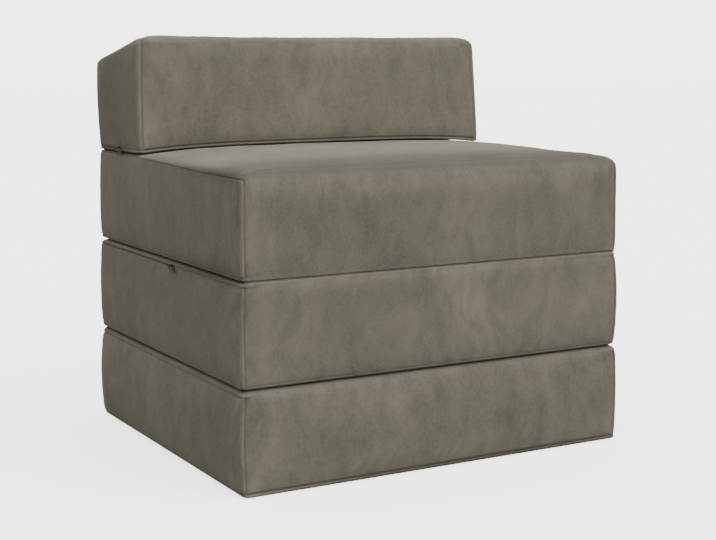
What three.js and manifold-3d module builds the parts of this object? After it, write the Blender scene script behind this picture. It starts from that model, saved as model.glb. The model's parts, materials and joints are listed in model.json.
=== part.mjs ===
// Convertible chair bed: three stacked foam blocks and a wedge backrest in zipped covers.
// Fabric hinges on alternate edges let the stack fold out to a flat bed with a pillow.
// Millimetres, +Z up, the front faces -Y and the floor is z = 0.
import * as THREE from "three";
import { mergeVertices } from "three/addons/utils/BufferGeometryUtils.js";
import Module from "manifold-3d";

const wasm = await Module();
wasm.setup();

// Driving dimensions of the folded chair.
const WIDTH = 660; // across the side seams
const DEPTH = 560; // front face to rear face of a sleeping block
const PITCH = 151; // height that each folded layer takes in the stack
const CORNER = 8; // radius of the upright corners
const BACK_DEPTH = 169; // backrest, along the seat
const BACK_FRONT = 191; // backrest height at its front face
const BACK_REAR = 153; // backrest height at its rear face
const FRONT_LEAN = 18; // how far the backrest's front face leans back at the top
const REAR_LEAN = 18; // how far its rear face overhangs the hinge at the top

// Clearances.
const FIT = 0.3; // between two pieces that touch
const LAYER_AIR = 0.4; // between two stacked blocks
const REST_AIR = 0.7; // under the backrest, whose facets follow the seat's crown

// Cover cloth, its rolled edges and the swell of each face.
const CLOTH = 2;
const OPEN_ROLL = 10;
const HINGE_ROLL = 4;
const BASE_ROLL = 9; // along the top of the base's side faces
const MIDDLE_ROLL = 7; // along the top of the middle block's side faces
const BOTTOM_ROLL = 5; // along the bottom of a side face
const WATERFALL = 22; // the seat's unseamed front edge
const SEAT_ROLL = 5; // along the seat's top sides
const SEAT_SEAM = 3; // from the seat's flat top down to its side seams
const BACK_ROLL = 12; // along the backrest's top
const BACK_FOOT = 6; // along the backrest's bottom
const SIDE_SWELL = 1.5;
const CORNER_SWELL = 5; // how far the upright corners follow the sides out
const FACE_SWELL = 1.2;
const FOOT_SWELL = 0.2;
const SEAT_CROWN = 10;
const CROWN_POWER = 4; // how flat the crown stays across the seat
const HINGE_OUT = FACE_SWELL + FIT; // fold line to the flat of the faces that it joins

// Fabric hinge tape and zip.
const TAPE = 0.8;
const CHAIN = 2.6; // width of the closed chain
const CHAIN_SUNK = 0.8; // chain face below the cloth
const ZIP_MARGIN = 25; // from the chain's blind end to the far corner
const ZIP_SIDE = 320; // stretch of chain along a block's side
const BACK_ZIP_SIDE = 101; // the same on the backrest
const SLIDER = { length: 11, head: 8.4, tail: 6.4, thick: 1.6, bevel: 0.4, out: 1 };
const KEY = { length: 9, width: 2, deep: 0.5 }; // rib that runs in the chain's groove
const BAIL = { length: 7, width: 1.8, window: 4.6, rise: 2.6, bar: 0.9 };
const PULL = { length: 24, eye: 6.8, waist: 4.6, tip: 6.6, thick: 1.2, bar: 1, hole: 4, reach: 4.5 };
const PULL_SLOT = { width: 2.2, length: 7, inset: 2.4 };
const PULL_DROOP = THREE.MathUtils.degToRad(10);

// Facet counts, and the steps at which a roll, a face and a cap are sampled.
const FINE = {
  across: [0, 0.3, 0.7, 1],
  along: [0, 0.25, 0.5, 0.75, 1],
  arc: 2,
  topShares: [1, 0.62, 0.29, 0.07, 0],
  footShares: [0, 0.13, 0.5, 1],
  faceShares: [0.25, 0.5, 0.75],
};
const CROWNED = { ...FINE, across: [0, 0.06, 0.2, 0.5, 0.8, 0.94, 1] };
const COARSE = {
  across: [0, 0.2, 0.8, 1],
  along: [0, 0.5, 1],
  arc: 2,
  topShares: [1, 0.3, 0],
  footShares: [0, 0.3, 1],
  faceShares: [0.5],
};
const CAP_SHARES = [0.25, 0.6, 0.85];
const FOOT_CAP_SHARES = [0.2, 0.8];
const CAP_TAPER = 0.06; // how far a cap's rings draw in at their two ends, as a share

const SEWN = "sewn";
const HINGED = "hinged";
const LEFT = -1;
const RIGHT = 1;

const CLOTH_LOOK = { color: 0x877f70, roughness: 0.95, metalness: 0 };
const UNDER_LOOK = { color: 0x3b3833, roughness: 0.9, metalness: 0 };
const TAPE_LOOK = { color: 0x6f685b, roughness: 0.95, metalness: 0 };
const FOAM_LOOK = { color: 0xe6dfc4, roughness: 1, metalness: 0 };
const CHAIN_LOOK = { color: 0x5d574c, roughness: 0.6, metalness: 0 };
const METAL_LOOK = { color: 0xb9b7b2, roughness: 0.3, metalness: 1 };

const root = new THREE.Group();
root.name = "convertible_chair_bed";

// A closed manifold solid from three.js geometry.
function solidOf(geometry) {
  const bare = geometry.clone();
  bare.deleteAttribute("normal");
  bare.deleteAttribute("uv");
  const merged = mergeVertices(bare);
  return new wasm.Manifold(
    new wasm.Mesh({
      numProp: 3,
      vertProperties: merged.getAttribute("position").array,
      triVerts: new Uint32Array(merged.index.array),
    }),
  );
}

function geometryOf(solid) {
  const mesh = solid.getMesh();
  const geometry = new THREE.BufferGeometry();
  geometry.setAttribute("position", new THREE.BufferAttribute(mesh.vertProperties, mesh.numProp));
  geometry.setIndex(new THREE.BufferAttribute(mesh.triVerts, 1));
  geometry.computeVertexNormals();
  return geometry;
}

function addNode(name, solid, look) {
  const mesh = new THREE.Mesh(geometryOf(solid), new THREE.MeshStandardMaterial(look));
  mesh.name = name;
  root.add(mesh);
}

// A skin over rings of points, closed at both ends by the triangles that `capOf` gives.
function loft(rings, capOf, place) {
  const count = rings[0].length;
  const positions = rings.flat().flatMap((point) => place(...point));
  const index = [];
  for (let level = 0; level < rings.length - 1; level++) {
    for (let k = 0; k < count; k++) {
      const a = level * count + k;
      const b = level * count + ((k + 1) % count);
      index.push(a, b, b + count, a, b + count, a + count);
    }
  }
  const last = (rings.length - 1) * count;
  for (const [a, b, c] of capOf(count)) {
    index.push(a, c, b);
    index.push(last + a, last + b, last + c);
  }
  const geometry = new THREE.BufferGeometry();
  geometry.setAttribute("position", new THREE.Float32BufferAttribute(positions, 3));
  geometry.setIndex(index);
  return solidOf(geometry);
}

function fanCap(count) {
  const triangles = [];
  for (let k = 1; k < count - 1; k++) {
    triangles.push([0, k, k + 1]);
  }
  return triangles;
}

// Closes an outline from its left end to its right, pairing front points with rear ones.
function stripCap(count, leftEnd) {
  const at = (k) => (leftEnd + k + count) % count;
  const triangles = [[at(0), at(1), at(-1)]];
  for (let k = 1; k < count / 2; k++) {
    triangles.push([at(k), at(k + 1), at(-k)]);
    if (k < count / 2 - 1) {
      triangles.push([at(k + 1), at(-k - 1), at(-k)]);
    }
  }
  return triangles;
}

// A prism across the width, from its outline in (y, z), that follows the block's own shape.
function prism(outline, fromX, toX, place) {
  const turned = THREE.ShapeUtils.area(outline.map(([y, z]) => new THREE.Vector2(y, z))) < 0;
  const ordered = turned ? [...outline].reverse() : outline;
  const rings = CROWNED.across.map((share) => {
    const x = THREE.MathUtils.lerp(fromX, toX, share);
    return ordered.map(([y, z]) => [x, y, z]);
  });
  return loft(rings, fanCap, place);
}

function boxOf(x, y, z, place) {
  const outline = [
    [y[0], z[0]],
    [y[1], z[0]],
    [y[1], z[1]],
    [y[0], z[1]],
  ];
  return prism(outline, x[0], x[1], place);
}

// How far a rolled edge draws a face in, at a height `away` from the flat that it rolls to.
function rollInset(radius, away) {
  const left = Math.max(radius - Math.max(away, 0), 0);
  return radius - Math.sqrt(radius * radius - left * left);
}

function insetOf(block, side, z) {
  const edge = block.edges[side];
  return rollInset(edge.top, block.height - block.skin - z) + rollInset(edge.foot, z - block.skin);
}

// Share of a face's swell that is left at a height: none at its seams, all half way up.
function swellShare(block, side, z) {
  const edge = block.edges[side];
  const low = block.skin + edge.foot;
  const high = block.height - block.skin - edge.top;
  const along = THREE.MathUtils.clamp((2 * z - low - high) / (high - low), -1, 1);
  return 1 - along * along;
}

// Points along one face, from corner to corner, swollen outwards in a parabola.
function facePoints(from, to, outward, swell, shares) {
  return shares.map((share) => {
    const out = swell * (1 - (2 * share - 1) ** 2);
    return [
      THREE.MathUtils.lerp(from[0], to[0], share) + outward[0] * out,
      THREE.MathUtils.lerp(from[1], to[1], share) + outward[1] * out,
    ];
  });
}

function arcPoints(centre, radius, start, steps) {
  const points = [];
  for (let step = 1; step < steps; step++) {
    const angle = start + (step / steps) * (Math.PI / 2);
    points.push([centre[0] + radius * Math.cos(angle), centre[1] + radius * Math.sin(angle)]);
  }
  return points;
}

// The block's outline at one height, anticlockwise seen from above.
function outlineAt(block, z, detail) {
  const half = WIDTH / 2 - block.skin + CORNER_SWELL * swellShare(block, "left", z);
  const x0 = -half + insetOf(block, "left", z);
  const x1 = half - insetOf(block, "right", z);
  const y0 = -block.depth / 2 + block.skin + insetOf(block, "front", z);
  const y1 = block.depth / 2 - block.skin - insetOf(block, "rear", z);
  const r = CORNER - block.skin;
  const swell = (side) => block.edges[side].swell * swellShare(block, side, z);
  const quarter = Math.PI / 2;
  return [
    ...facePoints([x0 + r, y0], [x1 - r, y0], [0, -1], swell("front"), detail.across),
    ...arcPoints([x1 - r, y0 + r], r, -quarter, detail.arc),
    ...facePoints([x1, y0 + r], [x1, y1 - r], [1, 0], swell("right"), detail.along),
    ...arcPoints([x1 - r, y1 - r], r, 0, detail.arc),
    ...facePoints([x1 - r, y1], [x0 + r, y1], [0, 1], swell("rear"), detail.across),
    ...arcPoints([x0 + r, y1 - r], r, quarter, detail.arc),
    ...facePoints([x0, y1 - r], [x0, y0 + r], [-1, 0], swell("left"), detail.along),
    ...arcPoints([x0 + r, y0 + r], r, Math.PI, detail.arc),
  ].map(([x, y]) => [x, y, z]);
}

// Rings that close a cap: the edge ring drawn in towards the cap's middle line.
function capRings(edgeRing, shares, heightAt) {
  const ys = edgeRing.map(([, y]) => y);
  const middle = (Math.min(...ys) + Math.max(...ys)) / 2;
  return shares.map((share) =>
    edgeRing.map(([x, y]) => {
      const inX = x * (1 - share * CAP_TAPER);
      const inY = middle + (y - middle) * (1 - share);
      return [inX, inY, heightAt(inX, inY)];
    }),
  );
}

// Rise of a crowned cap, which falls to nothing along the block's rolled edges.
function crownAt(block, rise, x, y) {
  const { left, front, rear } = block.edges;
  const halfX = WIDTH / 2 - block.skin - left.top;
  const low = -block.depth / 2 + block.skin + front.top;
  const high = block.depth / 2 - block.skin - rear.top;
  const u = THREE.MathUtils.clamp(x / halfX, -1, 1);
  const v = THREE.MathUtils.clamp((2 * y - low - high) / (high - low), -1, 1);
  return rise * (1 - u ** CROWN_POWER) * (1 - v * v);
}

// The stuffed form of a block, `skin` in from its cloth's face.
function stuffedForm(block, detail) {
  const rolls = Object.values(block.edges);
  const top = block.height - block.skin;
  const topRoll = Math.max(...rolls.map((edge) => edge.top));
  const footRoll = Math.max(...rolls.map((edge) => edge.foot));
  const low = block.skin + footRoll;
  const high = top - topRoll;
  const levels = [
    ...detail.footShares.map((share) => block.skin + share * footRoll),
    ...detail.faceShares.map((share) => THREE.MathUtils.lerp(low, high, share)),
    ...detail.topShares.map((share) => top - share * topRoll),
  ];
  const rings = levels.map((z) => outlineAt(block, z, detail));
  if (block.footCap) {
    const dip = (x, y) => block.skin - crownAt(block, FOOT_SWELL, x, y);
    rings.unshift(...capRings(rings[0], FOOT_CAP_SHARES, dip).reverse());
  }
  if (block.crown) {
    const rise = (x, y) => top + crownAt(block, block.crown, x, y);
    rings.push(...capRings(rings.at(-1), CAP_SHARES, rise));
  }
  const { across, along, arc } = detail;
  const leftEnd = 2 * across.length + along.length + 3 * (arc - 1) + (along.length - 1) / 2;
  return loft(rings, (count) => stripCap(count, leftEnd), block.place);
}

// The same block drawn in by `skin` on every face, with its rolls tightened to match.
function drawnIn(block, skin) {
  const edges = {};
  for (const [side, edge] of Object.entries(block.edges)) {
    edges[side] = { top: edge.top - skin, foot: edge.foot - skin, swell: edge.swell };
  }
  return { ...block, skin, edges };
}

const insideX = WIDTH / 2 - CORNER;
const beyondX = WIDTH / 2 + SIDE_SWELL + CORNER_SWELL + CLOTH;

// Thin walls that part a side panel from its neighbours.
function sidePanelCut(block, hand) {
  const reachY = block.depth / 2 + CLOTH + FACE_SWELL;
  const wall = (grow) => {
    const x = [hand * (insideX - grow), hand * beyondX].sort((a, b) => a - b);
    const z = [block.seams.foot - grow, block.seams.top + grow];
    return boxOf(x, [-reachY, reachY], z, block.place);
  };
  return wall(FIT / 2).subtract(wall(-FIT / 2));
}

// The four long edges of a block, each named by its face and its end.
function edgeAt(block, name) {
  const front = name.startsWith("front");
  const top = name.endsWith("Top");
  return {
    sign: front ? -1 : 1,
    top,
    seam: top ? block.seams.top : block.seams.foot,
    level: top ? block.height : 0,
    up: top ? 1 : -1,
  };
}

// A plain seam across a front or rear face.
function seamCut(block, name) {
  const { sign, seam } = edgeAt(block, name);
  const y = [sign * (block.depth / 2 - CORNER), sign * (block.depth / 2 + CLOTH)];
  y.sort((a, b) => a - b);
  return boxOf([-insideX, insideX], y, [seam - FIT / 2, seam + FIT / 2], block.place);
}

// Frame of a hinged edge: the roll's centre, the fold line, and the way from one to the other.
function hingeFrame(block, name) {
  const { sign, level, up } = edgeAt(block, name);
  const centre = new THREE.Vector2(block.depth / 2 - HINGE_ROLL, -HINGE_ROLL);
  const fold = new THREE.Vector2(block.depth / 2 + HINGE_OUT, up > 0 ? block.airAbove : block.airBelow);
  const way = fold.clone().sub(centre).normalize();
  const across = new THREE.Vector2(-way.y, way.x);
  const world = (point) => [sign * point.x, level + up * point.y];
  const at = (out, aside) =>
    centre.clone().addScaledVector(way, out).addScaledVector(across, aside);
  return { centre, fold, way, at, world };
}

// Slot that lets a hinge tape out through the cloth, with the short cuts at its two ends.
function hingeSlot(block, name) {
  const { at, world, centre, fold } = hingeFrame(block, name);
  const { sign, seam, level } = edgeAt(block, name);
  const half = TAPE / 2 + FIT;
  const reach = fold.distanceTo(centre);
  const outline = [at(0, -half), at(reach, -half), at(reach, half), at(0, half)].map(world);
  const slot = prism(outline, -insideX, insideX, block.place);
  const y = [sign * centre.x, sign * fold.x].sort((a, b) => a - b);
  const z = [seam, level].sort((a, b) => a - b);
  const ends = [LEFT, RIGHT].map((hand) =>
    boxOf([hand * insideX - FIT / 2, hand * insideX + FIT / 2], y, z, block.place),
  );
  return ends.reduce((all, end) => all.add(end), slot);
}

// One sewn half of a fabric hinge: from inside the seam to the fold line, where it is pointed
// so that it stays clear of its other half both folded and laid flat.
function hingeTape(block, name) {
  const { at, world, fold, way } = hingeFrame(block, name);
  const stop = fold.clone().subScalar(FIT / 2);
  const root = HINGE_ROLL - CLOTH;
  const low = at(0, -TAPE / 2);
  const high = at(0, TAPE / 2);
  const lowEnd = at((stop.x - low.x) / way.x, -TAPE / 2);
  const highEnd = at((stop.y - high.y) / way.y, TAPE / 2);
  const outline = [at(root, -TAPE / 2), lowEnd, stop, highEnd, at(root, TAPE / 2)].map(world);
  return prism(outline, -insideX + FIT, insideX - FIT, block.place);
}

// Room for the zip along its seam: across the rear, round one corner and along that side.
function zipRoom(block, grow) {
  const { hand, end, side } = block.zip;
  const seam = block.seams[end];
  const z = [seam - CHAIN / 2 - grow, seam + CHAIN / 2 + grow];
  const rearY = block.depth / 2;
  const reachY = [rearY - CORNER, rearY + CLOTH + FACE_SWELL];
  const blindX = -hand * (WIDTH / 2 - ZIP_MARGIN + grow);
  const rearX = [blindX, hand * beyondX].sort((a, b) => a - b);
  const sideX = [hand * insideX, hand * beyondX].sort((a, b) => a - b);
  const across = boxOf(rearX, reachY, z, block.place);
  const along = boxOf(sideX, [rearY - side - grow, reachY[1]], z, block.place);
  return across.add(along);
}

function panelName(block, { min, max }) {
  const [, frontY] = block.place(0, -block.depth / 2, 0);
  const [, rearY] = block.place(0, block.depth / 2, 0);
  const [, , foot] = block.place(0, 0, 0);
  const middleY = (frontY + rearY) / 2;
  const middleZ = foot + block.height / 2;
  if (max[0] < 0) return "left";
  if (min[0] > 0) return "right";
  if (min[1] > middleY) return "rear";
  if (max[1] < middleY) return "front";
  if (max[2] < middleZ) return "bottom";
  if (min[2] > middleZ) return "top";
  return "wrap";
}

// The cover: a shell of cloth parted along its seams, its hinge slots and its zip.
function addCover(block) {
  const shell = stuffedForm(block, block.detail).subtract(stuffedForm(drawnIn(block, CLOTH), COARSE));
  const cuts = [LEFT, RIGHT].map((hand) => sidePanelCut(block, hand));
  for (const [name, kind] of Object.entries(block.long)) {
    cuts.push(kind === SEWN ? seamCut(block, name) : hingeSlot(block, name));
  }
  cuts.push(zipRoom(block, FIT));
  const parted = cuts.reduce((left, cut) => left.subtract(cut), shell);
  for (const panel of parted.decompose()) {
    const name = panelName(block, panel.boundingBox());
    const under = block.name === "base" && name === "bottom";
    addNode(`${block.name}_${name}`, panel, under ? UNDER_LOOK : CLOTH_LOOK);
  }
}

function addChain(block) {
  const outer = stuffedForm(drawnIn(block, CHAIN_SUNK), block.detail);
  const inner = stuffedForm(drawnIn(block, CLOTH), COARSE);
  const chain = outer.subtract(inner).intersect(zipRoom(block, 0));
  addNode(`${block.name}_zip_chain`, chain, CHAIN_LOOK);
}

// Plan outline of the slider's plate, in (travel, up).
function plateShape() {
  const { length, head, tail, bevel } = SLIDER;
  const front = -length / 2 + bevel;
  const rear = length / 2 - bevel;
  const wide = head / 2 - bevel;
  const slim = tail / 2 - bevel;
  const shape = new THREE.Shape();
  shape.moveTo(front, -slim / 2);
  shape.quadraticCurveTo(front, -wide, front + wide, -wide);
  shape.quadraticCurveTo(0, -slim, rear, -slim);
  shape.lineTo(rear, slim);
  shape.quadraticCurveTo(0, slim, front + wide, wide);
  shape.quadraticCurveTo(front, wide, front, slim / 2);
  return shape;
}

// The bail that holds the pull, drawn from the side in (travel, out).
function bailShape() {
  const { length, window, rise, bar } = BAIL;
  const shape = new THREE.Shape();
  shape.moveTo(-length / 2, -bar);
  shape.lineTo(length / 2, -bar);
  shape.lineTo(length / 2, rise / 2);
  shape.quadraticCurveTo(length / 2, rise + bar, window / 2, rise + bar);
  shape.lineTo(-window / 2, rise + bar);
  shape.quadraticCurveTo(-length / 2, rise + bar, -length / 2, rise / 2);
  const hole = new THREE.Path();
  hole.moveTo(-window / 2, 0);
  hole.lineTo(window / 2, 0);
  hole.lineTo(window / 2, rise);
  hole.lineTo(-window / 2, rise);
  shape.holes.push(hole);
  return shape;
}

// A slider for a zip on the right side: +X out, and the seam's middle at the origin.
function sliderSolid() {
  const { thick, bevel, out } = SLIDER;
  const curveSegments = 5;
  const plate = new THREE.ExtrudeGeometry(plateShape(), {
    depth: thick - 2 * bevel,
    bevelThickness: bevel,
    bevelSize: bevel,
    bevelSegments: 1,
    curveSegments,
  });
  plate.translate(0, 0, bevel + out);
  const bail = new THREE.ExtrudeGeometry(bailShape(), {
    depth: BAIL.width,
    bevelEnabled: false,
    curveSegments,
  });
  bail.translate(0, 0, -BAIL.width / 2);
  bail.rotateX(Math.PI / 2);
  bail.translate(0, 0, thick + out);
  const key = new THREE.BoxGeometry(KEY.length, KEY.width, KEY.deep + out + thick / 2);
  key.translate(0, 0, (out + thick / 2 - KEY.deep) / 2);
  const toSide = new THREE.Matrix4().makeBasis(
    new THREE.Vector3(0, 1, 0),
    new THREE.Vector3(0, 0, 1),
    new THREE.Vector3(1, 0, 0),
  );
  const pieces = [plate, bail, key].map((piece) => solidOf(piece.applyMatrix4(toSide)));
  return pieces.reduce((all, piece) => all.add(piece));
}

// The pull, from the bar inside the bail to its tip, in (travel, up).
function pullShape() {
  const { length, eye, waist, tip, bar, hole, reach } = PULL;
  const far = -length + bar;
  const shape = new THREE.Shape();
  shape.moveTo(bar / 2, -eye / 2);
  shape.lineTo(bar / 2, eye / 2);
  shape.lineTo(-reach, eye / 2);
  shape.quadraticCurveTo(-reach - bar, waist / 2, -reach - 2 * bar, waist / 2);
  shape.lineTo(far / 2, waist / 2);
  shape.lineTo(far + tip / 2, tip / 2);
  shape.absarc(far + tip / 2, 0, tip / 2, Math.PI / 2, (3 * Math.PI) / 2);
  shape.lineTo(far / 2, -waist / 2);
  shape.lineTo(-reach - 2 * bar, -waist / 2);
  shape.quadraticCurveTo(-reach - bar, -waist / 2, -reach, -eye / 2);
  const window = new THREE.Path();
  window.moveTo(-bar / 2, -hole / 2);
  window.lineTo(-reach, -hole / 2);
  window.lineTo(-reach, hole / 2);
  window.lineTo(-bar / 2, hole / 2);
  const from = far + PULL_SLOT.inset;
  const slot = new THREE.Path();
  slot.moveTo(from, -PULL_SLOT.width / 2);
  slot.lineTo(from, PULL_SLOT.width / 2);
  slot.lineTo(from + PULL_SLOT.length, PULL_SLOT.width / 2);
  slot.lineTo(from + PULL_SLOT.length, -PULL_SLOT.width / 2);
  shape.holes.push(window, slot);
  return shape;
}

const pivotOut = SLIDER.out + SLIDER.thick + BAIL.rise / 2;

function pullSolid() {
  const pull = new THREE.ExtrudeGeometry(pullShape(), {
    depth: PULL.thick,
    bevelEnabled: false,
    curveSegments: 8,
  });
  pull.translate(0, 0, -PULL.thick / 2);
  const toSide = new THREE.Matrix4().makeBasis(
    new THREE.Vector3(0, 1, 0),
    new THREE.Vector3(0, 0, 1),
    new THREE.Vector3(1, 0, 0),
  );
  pull.applyMatrix4(toSide);
  pull.rotateX(PULL_DROOP);
  pull.translate(pivotOut, 0, 0);
  return solidOf(pull);
}

// The closed end of a block's zip, on the side that the zip comes round to.
function sliderPoint(block) {
  const { hand, end, side } = block.zip;
  const y = block.depth / 2 - side + SLIDER.length / 2;
  return block.place((hand * WIDTH) / 2, y, block.seams[end]);
}

function addZip(block) {
  addChain(block);
  const point = sliderPoint(block);
  for (const [part, solid] of [
    ["slider", sliderSolid()],
    ["pull", pullSolid()],
  ]) {
    const handed = block.zip.hand === LEFT ? solid.mirror([1, 0, 0]) : solid;
    addNode(`${block.name}_zip_${part}`, handed.translate(point), METAL_LOOK);
  }
}

function addHingeTapes(block) {
  for (const [name, kind] of Object.entries(block.long)) {
    if (kind !== HINGED) continue;
    const side = name.startsWith("front") ? "front" : "rear";
    addNode(`${block.name}_${side}_hinge_tape`, hingeTape(block, name), TAPE_LOOK);
  }
}

function addBlock(block) {
  addNode(`${block.name}_foam`, stuffedForm(drawnIn(block, CLOTH + FIT), COARSE), FOAM_LOOK);
  addCover(block);
  addHingeTapes(block);
  addZip(block);
}

// The edges of a sleeping block; a hinged edge has the tighter roll.
function blockEdges(long, sideRoll) {
  const roll = (name, open) => (long[name] === HINGED ? HINGE_ROLL : open);
  const side = { top: sideRoll, foot: BOTTOM_ROLL, swell: SIDE_SWELL };
  return {
    left: side,
    right: side,
    front: {
      top: roll("frontTop", OPEN_ROLL),
      foot: roll("frontFoot", BOTTOM_ROLL),
      swell: FACE_SWELL,
    },
    rear: {
      top: roll("rearTop", OPEN_ROLL),
      foot: roll("rearFoot", BOTTOM_ROLL),
      swell: FACE_SWELL,
    },
  };
}

// A sleeping block of the stack, counted up from the floor.
function layer(name, level, sideRoll, long, zip) {
  const air = LAYER_AIR / 2;
  const bottom = level * PITCH + (level ? air : 0);
  const height = (level + 1) * PITCH - air - bottom;
  return {
    name,
    depth: DEPTH,
    height,
    skin: 0,
    crown: 0,
    footCap: false,
    detail: FINE,
    edges: blockEdges(long, sideRoll),
    seams: { top: height - sideRoll, foot: BOTTOM_ROLL },
    long,
    zip: { ...zip, side: ZIP_SIDE },
    airAbove: air,
    airBelow: air,
    place: (x, y, z) => [x, y, z + bottom],
  };
}

const base = layer(
  "base",
  0,
  BASE_ROLL,
  { frontFoot: SEWN, rearFoot: SEWN, rearTop: HINGED },
  { hand: RIGHT, end: "top" },
);
const middle = layer(
  "middle",
  1,
  MIDDLE_ROLL,
  { frontFoot: SEWN, rearFoot: HINGED, rearTop: SEWN, frontTop: HINGED },
  { hand: LEFT, end: "top" },
);
const seatBlock = layer(
  "seat",
  2,
  SEAT_ROLL,
  { frontFoot: HINGED, rearFoot: SEWN, rearTop: HINGED },
  { hand: RIGHT, end: "foot" },
);
const seat = {
  ...seatBlock,
  crown: SEAT_CROWN,
  detail: CROWNED,
  edges: { ...seatBlock.edges, front: { ...seatBlock.edges.front, top: WATERFALL } },
  seams: { top: seatBlock.height - SEAT_SEAM, foot: BOTTOM_ROLL },
};

// Height of the seat's crowned top, which the backrest's underside follows.
function seatTopAt(x, y) {
  const [, , top] = seat.place(0, 0, seat.height);
  return top + crownAt(seat, seat.crown, x, y);
}

const backHeight = (BACK_FRONT + BACK_REAR) / 2;

// Bends a plain block into the wedge: it stands on the seat's crown, leans back and tapers.
function placeBack(x, y, z) {
  const share = y / BACK_DEPTH + 0.5;
  const rise = z / backHeight;
  const foot = DEPTH / 2 - BACK_DEPTH / 2 + y;
  const lean = THREE.MathUtils.lerp(FRONT_LEAN, REAR_LEAN, share) * rise;
  const taller = THREE.MathUtils.lerp(BACK_FRONT, BACK_REAR, share) - backHeight;
  const levelling = (seatTopAt(x, foot) - seatTopAt(WIDTH / 2, foot)) * (1 - rise);
  const standing = seatTopAt(WIDTH / 2, foot) + REST_AIR + levelling;
  return [x, foot + lean, standing + z + taller * rise * Math.abs(rise)];
}

const backSide = { top: BACK_ROLL, foot: BACK_FOOT, swell: SIDE_SWELL };
const backrest = {
  name: "backrest",
  depth: BACK_DEPTH,
  height: backHeight,
  skin: 0,
  crown: 0,
  footCap: true,
  detail: CROWNED,
  edges: {
    left: backSide,
    right: backSide,
    front: { top: BACK_ROLL, foot: BACK_FOOT, swell: FACE_SWELL },
    rear: { top: BACK_ROLL, foot: HINGE_ROLL, swell: FACE_SWELL },
  },
  seams: { top: backHeight - BACK_ROLL / 2, foot: BACK_FOOT },
  long: { frontFoot: SEWN, rearFoot: HINGED, rearTop: SEWN },
  zip: { hand: LEFT, end: "foot", side: BACK_ZIP_SIDE },
  airAbove: 0,
  airBelow: REST_AIR - LAYER_AIR / 2,
  place: placeBack,
};

[base, middle, seat, backrest].forEach(addBlock);

export default root;
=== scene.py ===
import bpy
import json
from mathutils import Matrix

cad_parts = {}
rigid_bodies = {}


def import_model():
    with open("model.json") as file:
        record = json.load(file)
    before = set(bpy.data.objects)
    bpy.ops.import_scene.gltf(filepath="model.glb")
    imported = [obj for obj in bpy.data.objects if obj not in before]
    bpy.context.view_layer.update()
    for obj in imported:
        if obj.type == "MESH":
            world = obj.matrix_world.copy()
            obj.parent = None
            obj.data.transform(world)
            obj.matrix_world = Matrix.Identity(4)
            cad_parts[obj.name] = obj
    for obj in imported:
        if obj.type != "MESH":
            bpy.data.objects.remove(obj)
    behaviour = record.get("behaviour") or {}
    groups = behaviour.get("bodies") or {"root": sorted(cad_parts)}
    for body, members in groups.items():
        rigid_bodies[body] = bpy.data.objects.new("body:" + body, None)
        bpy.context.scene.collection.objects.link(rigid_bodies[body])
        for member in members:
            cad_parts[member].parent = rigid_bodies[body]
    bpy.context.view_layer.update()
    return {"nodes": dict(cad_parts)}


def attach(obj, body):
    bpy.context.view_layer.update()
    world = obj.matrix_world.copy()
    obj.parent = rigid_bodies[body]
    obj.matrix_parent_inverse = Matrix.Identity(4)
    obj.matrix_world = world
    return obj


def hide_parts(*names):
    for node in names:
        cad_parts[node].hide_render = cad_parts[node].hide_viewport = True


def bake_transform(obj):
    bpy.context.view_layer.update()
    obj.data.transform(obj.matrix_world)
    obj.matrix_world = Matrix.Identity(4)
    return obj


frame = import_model()

# Dresses a convertible chair bed: velvet covers over foam blocks, hinge cloth, zips and a studio.
# Lengths are in metres, the front faces -Y and the floor is z = 0.

import json
import logging
import math
from dataclasses import dataclass, field
from enum import Enum
from typing import ClassVar

import bpy
import numpy as np
from mathutils import Vector
from mathutils.bvhtree import BVHTree

LOG = logging.getLogger("chair_bed")
MM = 0.001
TURN = 2 * math.pi
Triple = tuple[float, float, float]


class Face(Enum):
    """The four upright faces of a block, in the order that its outline passes them."""

    FRONT = 0
    RIGHT = 1
    REAR = 2
    LEFT = 3


class Hand(Enum):
    """The side that a zip comes round to, as the sign of X."""

    LEFT = -1
    RIGHT = 1


class Join(Enum):
    """What runs along a long edge of a cover."""

    PLAIN = "plain"
    SEWN = "sewn"
    HINGED = "hinged"


# ---------------------------------------------------------------------------------------------
# Shader writing


class Signal:
    """A shader socket that can be used in a Python expression."""

    def __init__(self, bench: "Bench", socket: bpy.types.NodeSocket) -> None:
        """Keeps the socket and the bench that it belongs to."""
        self.bench = bench
        self.socket = socket

    def _math(self, operation: str, first: object, second: object) -> "Signal":
        """Adds one Math node of two signals or numbers."""
        return self.bench.node("ShaderNodeMath", {"operation": operation}, {0: first, 1: second})

    def __add__(self, other: object) -> "Signal":
        """Self plus other."""
        return self._math("ADD", self, other)

    def __radd__(self, other: object) -> "Signal":
        """Other plus self."""
        return self._math("ADD", other, self)

    def __sub__(self, other: object) -> "Signal":
        """Self minus other."""
        return self._math("SUBTRACT", self, other)

    def __rsub__(self, other: object) -> "Signal":
        """Other minus self."""
        return self._math("SUBTRACT", other, self)

    def __mul__(self, other: object) -> "Signal":
        """Self times other."""
        return self._math("MULTIPLY", self, other)

    def clipped(self) -> "Signal":
        """Self, held between 0 and 1."""
        return self.bench.node("ShaderNodeClamp", {}, {0: self, 1: 0.0, 2: 1.0})

    def wave(self) -> "Signal":
        """The sine of self."""
        return self._math("SINE", self, 0.0)


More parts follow.
